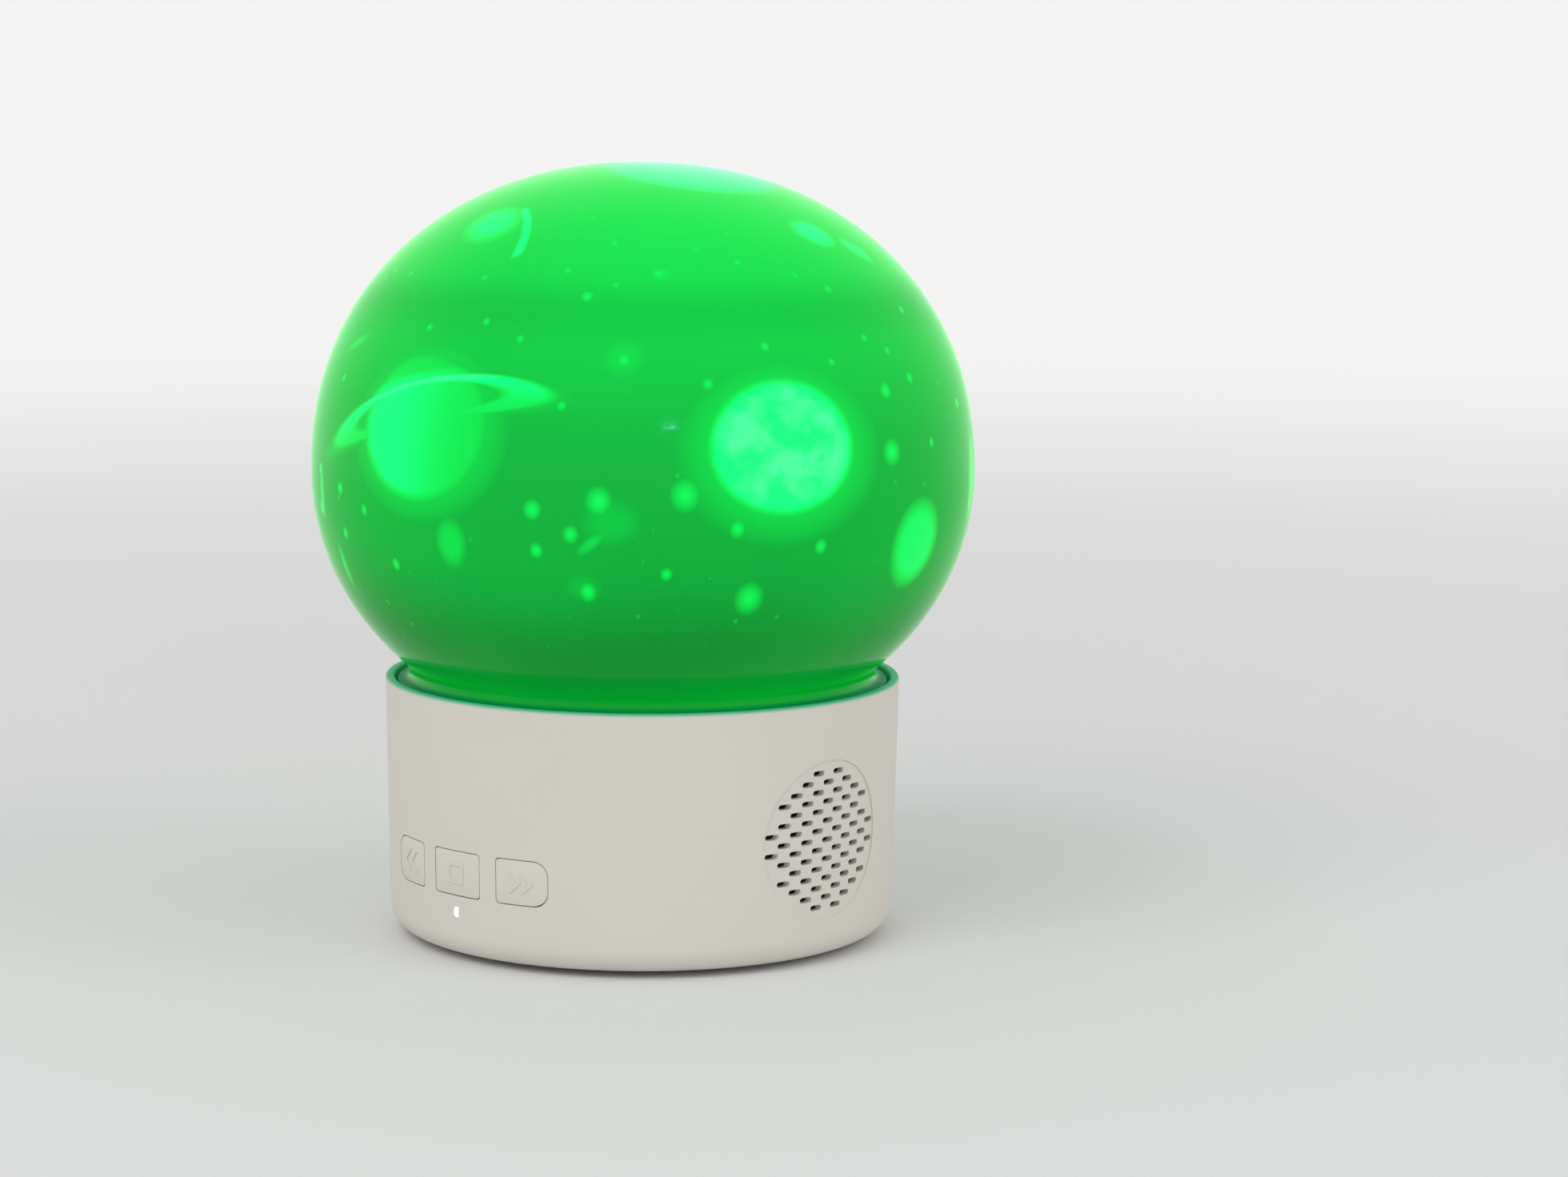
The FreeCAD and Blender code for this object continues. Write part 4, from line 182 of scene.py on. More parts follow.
lit_point = Vector((0, 0, 0.08))
for name, spot, size, power, mirrored in (
        ("key_light", (0.2, -1.3, 1.3), 1.1, 9.0, False),
        ("side_light", (1.5, 0.5, 1.0), 1.2, 5.0, False),
        ("small_light", (1.277, -0.928, 0.631), 0.13, 0.7, True)):
    bpy.ops.object.light_add(type="AREA", location=spot)
    light = bpy.context.active_object
    light.name = name
    light.data.size = size
    light.data.energy = power
    light.visible_glossy = mirrored
    light.rotation_euler = (lit_point - Vector(spot)).to_track_quat("-Z", "Y").to_euler()
light.data.shape = "RECTANGLE"
light.data.size_y = 0.05
light.data.color = (0.25, 0.75, 1.0)

# Housing: the drum-shaped shell of the base, moulded in warm off-white plastic with a fine
# grain. Its wall leans out a little, and its top edge rises round the shade's flange.

rim_radius = 52.6
rim_height = 53.0
foot_radius = 51.6
foot_height = 1.2
shell_wall = 1.8
bottom_round = 5.0
rim_round = 0.5
lean = (rim_radius - foot_radius) / (rim_height - foot_height)
speaker_height = 25.5
button_low = 13.9
button_high = 23.1
light_height = 10.7
light_hole_radius = 1.05
tool_from = 44.0
tool_to = 60.0


def wall_radius(height):
    """The radius of the base's outer wall at a height."""
    return foot_radius + (height - foot_height) * lean


def bend(centre_radius, centre_height, radius, start, end, count=6):
    """Points of an arc in a half outline, between two angles in degrees."""
    points = []
    for step in range(count + 1):
        angle = math.radians(start + (end - start) * step / count)
        points.append((centre_radius + radius * math.cos(angle), centre_height + radius * math.sin(angle)))
    return points


def pick(kind, test):
    """In edit mode, select the points, edges or faces that pass a test of their middle in mm."""
    bpy.ops.mesh.select_mode(type=kind)
    bpy.ops.mesh.select_all(action="DESELECT")
    shape = bmesh.from_edit_mesh(bpy.context.edit_object.data)
    matrix = bpy.context.edit_object.matrix_world
    for item in {"VERT": shape.verts, "EDGE": shape.edges, "FACE": shape.faces}[kind]:
        if kind == "VERT":
            middle = item.co
        elif kind == "EDGE":
            middle = (item.verts[0].co + item.verts[1].co) / 2
        else:
            middle = item.calc_center_median()
        if test(matrix @ middle / MM, item):
            item.select_set(True)
    bmesh.update_edit_mesh(bpy.context.edit_object.data)


def settle(piece, angle=35):
    """Put the piece's place into its mesh and shade it smooth up to an angle."""
    bpy.ops.object.select_all(action="DESELECT")
    piece.select_set(True)
    bpy.context.view_layer.objects.active = piece
    bpy.ops.object.transform_apply(location=True, rotation=True, scale=True)
    bpy.ops.object.shade_smooth_by_angle(angle=math.radians(angle))
    return piece


def turned(name, outline, steps=192):
    """Spin a closed half outline of (radius, height) in mm once round the upright axis."""
    bpy.ops.object.select_all(action="DESELECT")
    bpy.ops.mesh.primitive_plane_add(size=MM, location=(outline[0][0] * MM, 0, outline[0][1] * MM))
    piece = bpy.context.active_object
    piece.name = name
    bpy.ops.object.mode_set(mode="EDIT")
    bpy.ops.mesh.select_mode(type="VERT")
    bpy.ops.mesh.select_all(action="SELECT")
    bpy.ops.mesh.merge(type="CENTER")
    for (radius, height), (next_radius, next_height) in zip(outline, outline[1:] + outline[:1]):
        step = ((next_radius - radius) * MM, 0, (next_height - height) * MM)
        bpy.ops.mesh.extrude_region_move(TRANSFORM_OT_translate={"value": step})
    bpy.ops.mesh.select_all(action="SELECT")
    bpy.ops.mesh.spin(steps=steps, angle=math.tau, center=(0, 0, 0), axis=(0, 0, 1))
    bpy.ops.mesh.select_all(action="SELECT")
    bpy.ops.mesh.remove_doubles(threshold=0.001 * MM)
    bpy.ops.mesh.normals_make_consistent(inside=False)
    bpy.ops.object.mode_set(mode="OBJECT")
    return settle(piece)


def wall_band(name, low, high, inward, outward):
    """A ring along the base's outer wall between two heights, so deep inward and outward of it."""
    return turned(name, [
        (wall_radius(low) - inward, low), (wall_radius(low) + outward, low),
        (wall_radius(high) + outward, high), (wall_radius(high) - inward, high)], 256)


def rod(name, radius, low, high, axis="Z", sides=32):
    """A round rod between two points in mm, its length along an axis."""
    middle = [(a + b) / 2 * MM for a, b in zip(low, high)]
    length = max(abs(b - a) for a, b in zip(low, high)) * MM
    facing = {"X": (0, math.pi / 2, 0), "Y": (math.pi / 2, 0, 0), "Z": (0, 0, 0)}[axis]
    bpy.ops.object.select_all(action="DESELECT")
    bpy.ops.mesh.primitive_cylinder_add(
        vertices=sides, radius=radius * MM, depth=length, location=middle, rotation=facing)
    piece = bpy.context.active_object
    piece.name = name
    return settle(piece)


def block(name, low, high, rounds=None, axis="Y", segments=8):
    """A block between two corners in mm, with the corners along an axis rounded.

    rounds gives the radius on the low side and on the high side of the other level direction.
    """
    bpy.ops.object.select_all(action="DESELECT")
    bpy.ops.mesh.primitive_cube_add(size=1, location=[(a + b) / 2 * MM for a, b in zip(low, high)])
    piece = bpy.context.active_object
    piece.name = name
    piece.scale = [(b - a) * MM for a, b in zip(low, high)]
    bpy.ops.object.transform_apply(location=True, rotation=True, scale=True)
    bpy.ops.object.mode_set(mode="EDIT")
    along = "XYZ".index(axis)
    across = 1 if along == 0 else 0
    centre = (low[across] + high[across]) / 2
    for side, radius in zip((-1, 1), rounds or (0, 0)):
        if not radius:
            continue

        def corner(middle, edge, side=side):
            ends = edge.verts[1].co - edge.verts[0].co
            return abs(ends[along]) > 0.99 * ends.length and (middle[across] - centre) * side > 0
        pick("EDGE", corner)
        bpy.ops.mesh.bevel(offset=radius * MM, segments=segments, affect="EDGES")
    bpy.ops.object.mode_set(mode="OBJECT")
    return settle(piece)


def combine(piece, tool, operation="DIFFERENCE", keep_tool=False):
    """Cut a tool out of a piece, or keep what both share, or add the tool to it."""
    change = piece.modifiers.new(operation.lower(), "BOOLEAN")
    change.operation = operation
    change.solver = "EXACT"
    change.object = tool
    bpy.context.view_layer.objects.active = piece
    bpy.ops.object.modifier_apply(modifier=change.name)
    if not keep_tool:
        bpy.data.objects.remove(tool)
    return piece


def joined(name, pieces):
    """Make one object of several."""
    bpy.ops.object.select_all(action="DESELECT")
    for item in pieces:
        item.select_set(True)
    bpy.context.view_layer.objects.active = pieces[0]
    bpy.ops.object.join()
    pieces[0].name = name
    return settle(pieces[0])


def copy_of(piece, shift=(0, 0, 0), turn=0.0):
    """A copy with a mesh of its own, turned about the upright axis and then moved, in mm and degrees."""
    twin = piece.copy()
    twin.data = piece.data.copy()
    bpy.context.collection.objects.link(twin)
    matrix = Matrix.Translation([step * MM for step in shift]) @ Matrix.Rotation(math.radians(turn), 4, "Z")
    twin.data.transform(matrix)
    return twin


def eased(piece, width, angle=40, segments=2):
    """Round a piece's sharp edges by a width in mm."""
    change = piece.modifiers.new("edges", "BEVEL")
    change.width = width * MM
    change.segments = segments
    change.limit_method = "ANGLE"
    change.angle_limit = math.radians(angle)
    change.use_clamp_overlap = True
    bpy.context.view_layer.objects.active = piece
    bpy.ops.object.modifier_apply(modifier=change.name)
    return settle(piece)


round_height = foot_height + bottom_round
outline = [(42.2, foot_height)]
outline += bend(46.696, round_height, bottom_round, -90, -1.1, 10)
outline += [(wall_radius(height), height) for height in (9.0, 13.0, 24.0, 36.0, 44.0, 50.0)]
outline += bend(rim_radius - rim_round - 0.01, rim_height - rim_round, rim_round, -1.1, 90, 5)
outline += bend(rim_radius - shell_wall + rim_round, rim_height - rim_round, rim_round, 90, 180, 5)
outline += [(50.8, 49.0), (48.8, 49.0), (48.8, 47.4), (50.8, 47.4)]
outline += bend(46.6, round_height, bottom_round - shell_wall, -1, -90, 6)
outline += [(43.8, 3.0), (43.8, 4.8), (39.0, 4.8), (39.0, 3.2), (42.2, 3.2)]
housing = turned("drum_housing", outline, 256)

window_sides = {
    "previous": (-21.5, -10.3, (3.0, 0.8)),
    "play": (-6.46, 6.46, (0.8, 0.8)),
    "next": (10.3, 21.5, (0.8, 3.0)),
}
for left, right, rounds in window_sides.values():
    combine(housing, block("tool", (left, -tool_to, button_low), (right, -tool_from, button_high), rounds))
combine(housing, rod(
    "tool", light_hole_radius, (0, -tool_to, light_height), (0, -tool_from, light_height), "Y", 24))
inlet_middle = 14.23
inlet_half_width = 4.82
inlet_half_height = 1.98
combine(housing, block(
    "tool", (-inlet_half_width, tool_from, inlet_middle - inlet_half_height),
    (inlet_half_width, tool_to, inlet_middle + inlet_half_height), (1.95, 1.95)))

patch_radius = 16.0
patch_depth = 0.25
patch = rod("tool", patch_radius, (tool_from, 0, speaker_height), (tool_to, 0, speaker_height), "X", 96)
skin_ring = wall_band("patch_skin", 5, 46, patch_depth, 3)
combine(patch, skin_ring, "INTERSECT")
combine(housing, patch)

slot_length = 3.0
slot_width = 1.15
column_pitch = 2.8
row_pitch = 1.93
rows_of_column = {0: (0, 2, 4, 6), 1: (1, 3, 5, 7), 2: (0, 2, 4, 6), 3: (1, 3, 5), 4: (0, 2, 4), 5: (1,)}
slot = rod("slot", slot_width / 2, (46.5, 0, speaker_height), (tool_to, 0, speaker_height), "X", 16)
bpy.ops.object.mode_set(mode="EDIT")
for side in (-1, 1):
    pick("VERT", lambda middle, item, side=side: middle.y * side > 0.01)
    bpy.ops.transform.translate(value=(0, side * (slot_length - slot_width) / 2 * MM, 0))
bpy.ops.object.mode_set(mode="OBJECT")
slots = []
for column in range(-5, 6):
    rows = rows_of_column[abs(column)]
    for row in sorted(set(rows) | {-row for row in rows}):
        slots.append(copy_of(slot, (0, column * column_pitch, row * row_pitch)))
bpy.data.objects.remove(slot)
combine(housing, joined("slots", slots))
settle(housing, 30)


def new_group(name, inputs, outputs):
    """A shader node group with named inputs and outputs."""
    group = bpy.data.node_groups.new(name, "ShaderNodeTree")
    for label, kind in inputs.items():
        group.interface.new_socket(label, in_out="INPUT", socket_type="NodeSocket" + kind)
    for label, kind in outputs.items():
        group.interface.new_socket(label, in_out="OUTPUT", socket_type="NodeSocket" + kind)
    return group, group.nodes.new("NodeGroupInput"), group.nodes.new("NodeGroupOutput")


grain, grain_in, grain_out = new_group(
    "moulded_grain",
    {"Colour": "Color", "Grain": "Float", "Mottle": "Float", "Roughness": "Float"},
    {"Colour": "Color", "Roughness": "Float", "Height": "Float"})
grain_place = own_place(grain)
fine = node(grain, "ShaderNodeTexNoise", {
    "Vector": grain_place, "Scale": grain_in.outputs["Grain"], "Detail": 3.0, "Roughness": 0.6})
broad = node(grain, "ShaderNodeTexNoise", {"Vector": grain_place, "Scale": 38.0, "Detail": 2.0})
shade_of = ramp(grain, broad.outputs["Fac"], 0.3, 0.7, -1.0, 1.0)
speck = ramp(grain, fine.outputs["Fac"], 0.35, 0.65, -0.5, 0.5)
change = maths(grain, "MULTIPLY", maths(grain, "ADD", shade_of, speck), grain_in.outputs["Mottle"])
bright = maths(grain, "ADD", change, 1.0)
toned = scaled(grain, grain_in.outputs["Colour"], bright)
rough = maths(grain, "ADD", grain_in.outputs["Roughness"], maths(grain, "MULTIPLY", speck, 0.12))
grain.links.new(toned, grain_out.inputs["Colour"])
grain.links.new(rough.outputs[0], grain_out.inputs["Roughness"])
grain.links.new(fine.outputs["Fac"], grain_out.inputs["Height"])


def covered(name, group, inputs, depth, strength):
    """A material whose colour, roughness and bump come from a node group; the bump's depth is in mm."""
    material, tree, shader = new_material(name)
    cover = node(tree, "ShaderNodeGroup", node_tree=group)
    for label, amount in inputs.items():
        cover.inputs[label].default_value = amount
    bump = node(tree, "ShaderNodeBump", {
        "Height": cover.outputs["Height"], "Distance": depth * MM, "Strength": strength})
    tree.links.new(cover.outputs["Colour"], shader.inputs["Base Color"])
    tree.links.new(cover.outputs["Roughness"], shader.inputs["Roughness"])
    tree.links.new(bump.outputs[0], shader.inputs["Normal"])
    return material


def moulded(name, colour, roughness=0.55, size=0.25, mottle=0.02, depth=0.02):
    """A moulded plastic: its grain's size and depth are in mm."""
    cover = {"Colour": (*colour, 1), "Grain": 1 / (size * MM), "Mottle": mottle, "Roughness": roughness}
    return covered(name, grain, cover, depth, 0.6)


shell_colour = (0.73, 0.685, 0.625)
shell_material = moulded("warm_shell", shell_colour, 0.56, 0.22, 0.008, 0.03)
shell_tree, shell_shader = inside(shell_material)
shell_height = parts_of(shell_tree, own_place(shell_tree))["Z"]
# Painted light: the top of the rim is tinted green and made to glow, standing in for the shade's green
# light falling on it.
painted_rim_light = ramp(shell_tree, shell_height, 52.2 * MM, rim_height * MM)
shell_tree.links.new(scaled(shell_tree, (0.0, 0.12, 0.05), painted_rim_light), shell_shader.inputs["Emission Color"])
shell_tone = shell_shader.inputs["Base Color"].links[0].from_socket
painted_green_rim = mixed(shell_tree, painted_rim_light, shell_tone, (0.10, 0.40, 0.22, 1))
shell_tree.links.new(painted_green_rim, shell_shader.inputs["Base Color"])
shell_shader.inputs["Emission Strength"].default_value = 1.0
housing.data.materials.append(shell_material)
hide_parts("housing")
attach(housing, "base")

# Buttons: three flush caps in windows of the wall, of the housing's plastic, a thin groove round
# each. The middle one has a raised square, the others raised double arrow heads.

button_gap = 0.2
cap_thickness = 2.6
sign_rise = 0.25
sign_width = 4.2
sign_stroke = 0.6
bar_half = 0.42
arrow_width = 2.0
arrow_pitch = 2.6
button_middle = (button_low + button_high) / 2
cap_ring = wall_band("cap_ring", 12, 25, cap_thickness, 0)
sign_ring = wall_band("sign_ring", 12, 25, sign_rise, sign_rise)


def arrow_head(point_x, side):
    """One arrow head: a bar bent at its middle, its point at a place across."""
    bars = []
    for level in (-1, 1):
        bar = block(
            "bar", (point_x - bar_half, -tool_to, button_middle),
            (point_x + bar_half, -tool_from, button_middle + sign_width / 2))
        bpy.ops.object.mode_set(mode="EDIT")
        pick("VERT", lambda middle, item: middle.z > button_middle + 0.1)
        bpy.ops.transform.translate(value=(-side * arrow_width * MM, 0, 0))
        bpy.ops.object.mode_set(mode="OBJECT")
        if level < 0:
            mirror = Matrix.Translation((0, 0, 2 * button_middle * MM)) @ Matrix.Scale(-1, 4, (0, 0, 1))
            bar.data.transform(mirror)
            bar.data.flip_normals()
        bars.append(bar)
    return combine(bars[0], bars[1], "UNION")


for name, (left, right, rounds) in window_sides.items():
    cap = block(
        name + "_cap", (left + button_gap, -tool_to, button_low + button_gap),
        (right - button_gap, -tool_from, button_high - button_gap), rounds)
    combine(cap, cap_ring, "INTERSECT", keep_tool=True)
    eased(cap, 0.16)
    centre = (left + right) / 2
    if name == "play":
        half = sign_width / 2
        inner = half - sign_stroke
        sign = block(
            "sign", (-half, -tool_to, button_middle - half),
            (half, -tool_from, button_middle + half), (0.3, 0.3))
        combine(sign, block(
            "tool", (-inner, -tool_to - 1, button_middle - inner),
            (inner, -tool_from + 1, button_middle + inner)))
        signs = [sign]
    else:
        side = math.copysign(1, centre)
        signs = [arrow_head(centre + (offset + 0.4) * arrow_pitch * side, side) for offset in (-0.5, 0.5)]
    for sign in signs:
        combine(sign, sign_ring, "INTERSECT", keep_tool=True)
        eased(sign, 0.08)
    cap = joined(name + "_cap", [cap] + signs)
    cap.data.materials.append(shell_material)
    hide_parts("button_" + name)
    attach(cap, "button_" + name)
bpy.data.objects.remove(cap_ring)
bpy.data.objects.remove(sign_ring)

# Indicator: a clear pipe from the lamp on the switch board to the wall below the middle button,
# its domed end flush with the wall and glowing white.

pipe = rod("indicator_pipe", 1.0, (0, -51.9, light_height), (0, -41.4, light_height), "Y", 32)
eased(pipe, 0.3, segments=3)
pipe_material, pipe_tree, pipe_shader = new_material("glowing_pipe")
pipe_place = parts_of(pipe_tree, own_place(pipe_tree))
pipe_front = ramp(pipe_tree, pipe_place["Y"], -49.0 * MM, -51.5 * MM)
pipe_across = maths(pipe_tree, "ABSOLUTE", pipe_place["X"])
pipe_side = ramp(pipe_tree, pipe_across, 0.75 * MM, 0.4 * MM, 0.06, 1.0)
pipe_light = maths(pipe_tree, "MULTIPLY", pipe_front, pipe_side)
pipe_tree.links.new(scaled(pipe_tree, (0.93, 0.95, 1.0), pipe_light), pipe_shader.inputs["Emission Color"])
pipe_shader.inputs["Emission Strength"].default_value = 1.6
pipe_shader.inputs["Base Color"].default_value = (0.62, 0.62, 0.62, 1)
pipe_shader.inputs["Roughness"].default_value = 0.15
pipe.data.materials.append(pipe_material)
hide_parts("light_pipe")
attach(pipe, "base")

# Bottom cover: a disc let into the housing from below, held by four sunk screws, with four
# round rubber feet glued into recesses.

cover_holes = [(38.6, 45), (38.6, 135), (38.6, 225), (38.6, 315)]
foot_places = [(32.0, 0), (32.0, 90), (32.0, 180), (32.0, 270)]
head_seat = 2.4
pad_height = 1.8


def spot(radius, degrees):
    return radius * math.cos(math.radians(degrees)), radius * math.sin(math.radians(degrees))


cover = turned("bottom_plate", [(0, 1.2), (41.6, 1.2), (42.0, 1.6), (42.0, 3.2), (0, 3.2)], 192)
for radius, degrees in cover_holes:
    x, y = spot(radius, degrees)
    combine(cover, rod("tool", 2.3, (x, y, 0), (x, y, head_seat), sides=48))
    combine(cover, rod("tool", 1.05, (x, y, 0), (x, y, 4.0), sides=32))
for radius, degrees in foot_places:
    x, y = spot(radius, degrees)
    combine(cover, rod("tool", 5.1, (x, y, 0), (x, y, pad_height), sides=64))
eased(cover, 0.12)
cover.data.materials.append(moulded("cover_plastic", (0.66, 0.62, 0.57), 0.62, 0.3, 0.02, 0.04))
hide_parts("bottom_cover")
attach(cover, "base")

foot = rod("foot", 5.0, (0, 0, 0), (0, 0, pad_height), sides=64)
eased(foot, 0.4, segments=3)
feet = [copy_of(foot, (*spot(radius, degrees), 0)) for radius, degrees in foot_places]
bpy.data.objects.remove(foot)
feet = joined("rubber_pads", feet)
rubber = moulded("foot_rubber", (0.028, 0.028, 0.03), 0.8, 0.4, 0.12, 0.05)
feet.data.materials.append(rubber)
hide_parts("rubber_feet")
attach(feet, "base")

# Screws: small zinc-plated pan heads with cross recesses. The four that hold the cover are made
# here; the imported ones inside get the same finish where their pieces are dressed.

worn, worn_in, worn_out = new_group(
    "turned_marks", {"Colour": "Color", "Size": "Float", "Roughness": "Float"},
    {"Colour": "Color", "Roughness": "Float", "Height": "Float"})
worn_place = own_place(worn)
marks = node(worn, "ShaderNodeTexNoise", {
    "Vector": worn_place, "Scale": worn_in.outputs["Size"], "Detail": 4.0, "Roughness": 0.7})
clouds = node(worn, "ShaderNodeTexNoise", {"Vector": worn_place, "Scale": 160.0, "Detail": 2.0})
dulled = ramp(worn, clouds.outputs["Fac"], 0.3, 0.75, 0.78, 1.06)
worn_tone = scaled(worn, worn_in.outputs["Colour"], dulled)
mark_rough = ramp(worn, marks.outputs["Fac"], 0.3, 0.7, -0.08, 0.12)
worn_rough = maths(worn, "ADD", worn_in.outputs["Roughness"], mark_rough)
worn.links.new(worn_tone, worn_out.inputs["Colour"])
worn.links.new(worn_rough.outputs[0], worn_out.inputs["Roughness"])
worn.links.new(marks.outputs["Fac"], worn_out.inputs["Height"])


def metal(name, colour, roughness=0.3, size=0.12):
    """A bare or plated metal with fine marks of a size in mm."""
    cover = {"Colour": (*colour, 1), "Size": 1 / (size * MM), "Roughness": roughness}
    material = covered(name, worn, cover, 0.01, 0.5)
    inside(material)[1].inputs["Metallic"].default_value = 1.0
    return material


def cross_screws(name, places, up, head=2.1, height=1.2, shank=1.0, length=6.0):
    """Like screws as one object: each place is under a head, and up is +1 or -1."""
    body = rod("screw", head, (0, 0, 0), (0, 0, height), sides=40)
    eased(body, 0.3, segments=3)
    for reach_x, reach_y in ((0.62, 0.1), (0.1, 0.62)):
        combine(body, block(
            "tool", (-head * reach_x, -head * reach_y, height - 0.7),
            (head * reach_x, head * reach_y, height + 1)))
    combine(body, rod("shank", shank, (0, 0, -length), (0, 0, 0.2), sides=24), "UNION")
    if up < 0:
        body.data.transform(Matrix.Rotation(math.pi, 4, "X"))
    copies = [copy_of(body, at, 17 * number) for number, at in enumerate(places)]
    bpy.data.objects.remove(body)
    screws = joined(name, copies)
    screws.data.materials.append(screw_steel)
    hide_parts(name)
    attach(screws, "base")
    screws.name = name + "_set"


screw_steel = metal("zinc_plate", (0.60, 0.60, 0.62), 0.28)
cross_screws("cover_screws", [(*spot(radius, degrees), head_seat) for radius, degrees in cover_holes], -1)

# Main board and what goes with it: a green circuit board with chips, capacitors and sockets, the
# switch board behind the buttons, a flat cell in a foil pouch with its foam tape, and the leads.


def dress(material, *names):
    """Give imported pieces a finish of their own."""
    for name in names:
        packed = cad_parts[name]
        while len(packed.material_slots) < 1:
            packed.data.materials.append(material)
        for place_of in packed.material_slots:
            place_of.material = material


board_material = moulded("solder_mask", (0.02, 0.16, 0.07), 0.28, 0.5, 0.10, 0.01)
board_tree, board_shader = inside(board_material)
board_place = own_place(board_tree)
tracks = node(board_tree, "ShaderNodeTexBrick", {
    "Vector": board_place, "Scale": 260.0, "Mortar Size": 0.03,
    "Color1": (1, 1, 1, 1), "Color2": (1, 1, 1, 1), "Mortar": (0, 0, 0, 1)})
pads = node(board_tree, "ShaderNodeTexVoronoi", {"Vector": board_place, "Scale": 420.0, "Randomness": 0.7})
pad_mask = ramp(board_tree, pads.outputs["Distance"], 0.16, 0.22, 1.0, 0.0)
board_grain = board_shader.inputs["Base Color"].links[0].from_socket
with_tracks = mixed(board_tree, tracks.outputs["Color"], (0.04, 0.26, 0.12, 1), board_grain)
with_pads = mixed(board_tree, pad_mask, with_tracks, (0.62, 0.62, 0.60, 1))
board_tree.links.new(with_pads, board_shader.inputs["Base Color"])
dress(board_material, "main_board", "switch_board")
black_plastic = moulded("black_plastic", (0.022, 0.022, 0.024), 0.42, 0.2, 0.10, 0.02)
dress(black_plastic, "board_chips", "header_block", "tact_switches",
      "switch_plunger_previous", "switch_plunger_play", "switch_plunger_next")
sleeve = moulded("capacitor_sleeve", (0.03, 0.04, 0.10), 0.25, 0.6, 0.06, 0.01)
dress(sleeve, "board_capacitors")
nylon = moulded("ivory_nylon", (0.80, 0.78, 0.70), 0.45, 0.3, 0.02, 0.01)
dress(nylon, "board_sockets")
foil = metal("foil_pouch", (0.70, 0.71, 0.73), 0.35, 1.2)
dress(foil, "battery_cell")
foam = moulded("black_foam", (0.035, 0.035, 0.036), 0.9, 0.35, 0.3, 0.2)
dress(foam, "battery_tape", "speaker_gasket")
dress(screw_steel, "board_screws", "motor_screws", "speaker_screws")
wire = moulded("wire_sleeve", (0.50, 0.03, 0.025), 0.35, 0.8, 0.05, 0.005)
dress(wire, "battery_leads", "speaker_leads", "motor_leads", "lamp_leads")
indicator_material = moulded("indicator_lamp", (0.85, 0.86, 0.84), 0.3, 0.4, 0.02, 0.005)
dress(indicator_material, "indicator_lamp")

# Charging inlet: a rounded sleeve of bright steel on the board's edge, flush with the back of the
# housing, with a black contact tongue in it.

inlet = block("inlet_sleeve", (-4.47, 43.65, 12.6), (4.47, 51.0, 15.86), (1.6, 1.6), segments=10)
combine(inlet, block("tool", (-4.17, 44.6, 12.9), (4.17, 52, 15.56), (1.3, 1.3), segments=10))
eased(inlet, 0.06)
bright_steel = metal("bright_steel", (0.66, 0.67, 0.68), 0.22)
inlet.data.materials.append(bright_steel)
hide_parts("usb_shell")
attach(inlet, "base")
tongue_low, tongue_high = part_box("usb_tongue")
tongue = block("inlet_tongue", tongue_low / MM, tongue_high / MM)
eased(tongue, 0.12)
tongue.data.materials.append(black_plastic)
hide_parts("usb_tongue")
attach(tongue, "base")

# Loudspeaker: it faces +X behind the grille. A pressed black basket holds a rubber surround and a
# black paper cone with a dust cap, and a ferrite magnet in a steel cup closes the back.

basket_material = moulded("black_basket", (0.03, 0.03, 0.033), 0.38, 0.5, 0.08, 0.01)
dress(basket_material, "speaker_basket")
ferrite = moulded("ferrite", (0.06, 0.06, 0.065), 0.6, 0.3, 0.12, 0.03)
dress(ferrite, "speaker_magnet")
dress(bright_steel, "speaker_yoke", "gear_motor")
dress(rubber, "speaker_surround")
paper = moulded("black_paper", (0.045, 0.045, 0.047), 0.85, 0.5, 0.2, 0.08)
dress(paper, "speaker_cone", "dust_cap")
copper = metal("copper_winding", (0.78, 0.40, 0.22), 0.35, 0.3)
dress(copper, "voice_coil")

# Deck: the pan that closes the base, of the same off-white plastic but smoother. Its ledge carries
# the shade, and its hollow post carries the lamp and is the turntable's axle.

deck_material = moulded("satin_white", (0.74, 0.72, 0.68), 0.42, 0.3, 0.015, 0.012)
dress(deck_material, "deck")
dress(screw_steel, "deck_screws")

# Drive and turntable: a small motor turns a white pinion, which turns the ring of teeth under the
# disc. The disc runs on a slip washer, under a spring clip on the post.

dress(deck_material, "turntable")
slip = moulded("slip_plastic", (0.86, 0.86, 0.85), 0.4, 0.3, 0.02, 0.01)
dress(slip, "bearing_washer", "pinion")
spring_steel = metal("spring_steel", (0.46, 0.46, 0.48), 0.3)
dress(spring_steel, "retaining_clip", "motor_shaft")

# Lamp: a machined aluminium plug in the post, a round white board held by two small screws, and
# the emitter under its clear lens.

aluminium = metal("bare_aluminium", (0.77, 0.78, 0.79), 0.34, 0.2)
dress(aluminium, "heat_sink")
white_mask = moulded("white_mask", (0.84, 0.85, 0.84), 0.3, 0.5, 0.03, 0.01)
dress(white_mask, "lamp_board")
dress(screw_steel, "lamp_screws")
emitter_material = moulded("emitter", (0.70, 0.95, 0.75), 0.12, 0.5, 0.03, 0.002)
emitter_tree, emitter_shader = inside(emitter_material)
emitter_shader.inputs["Emission Strength"].default_value = 2.0
emitter_height = parts_of(emitter_tree, own_place(emitter_tree))["Z"]
emitter_top = ramp(emitter_tree, emitter_height, 60.6 * MM, 61.6 * MM)
emitter_glow = scaled(emitter_tree, (0.25, 1.0, 0.42), emitter_top)
emitter_tree.links.new(emitter_glow, emitter_shader.inputs["Emission Color"])
dress(emitter_material, "lamp_emitter")

# Film: a dark printed sheet rolled into a cylinder that stands in the turntable's groove, with a
# cap on its top edge. What is clear in the print is cast on the shade: planets, a moon and stars.

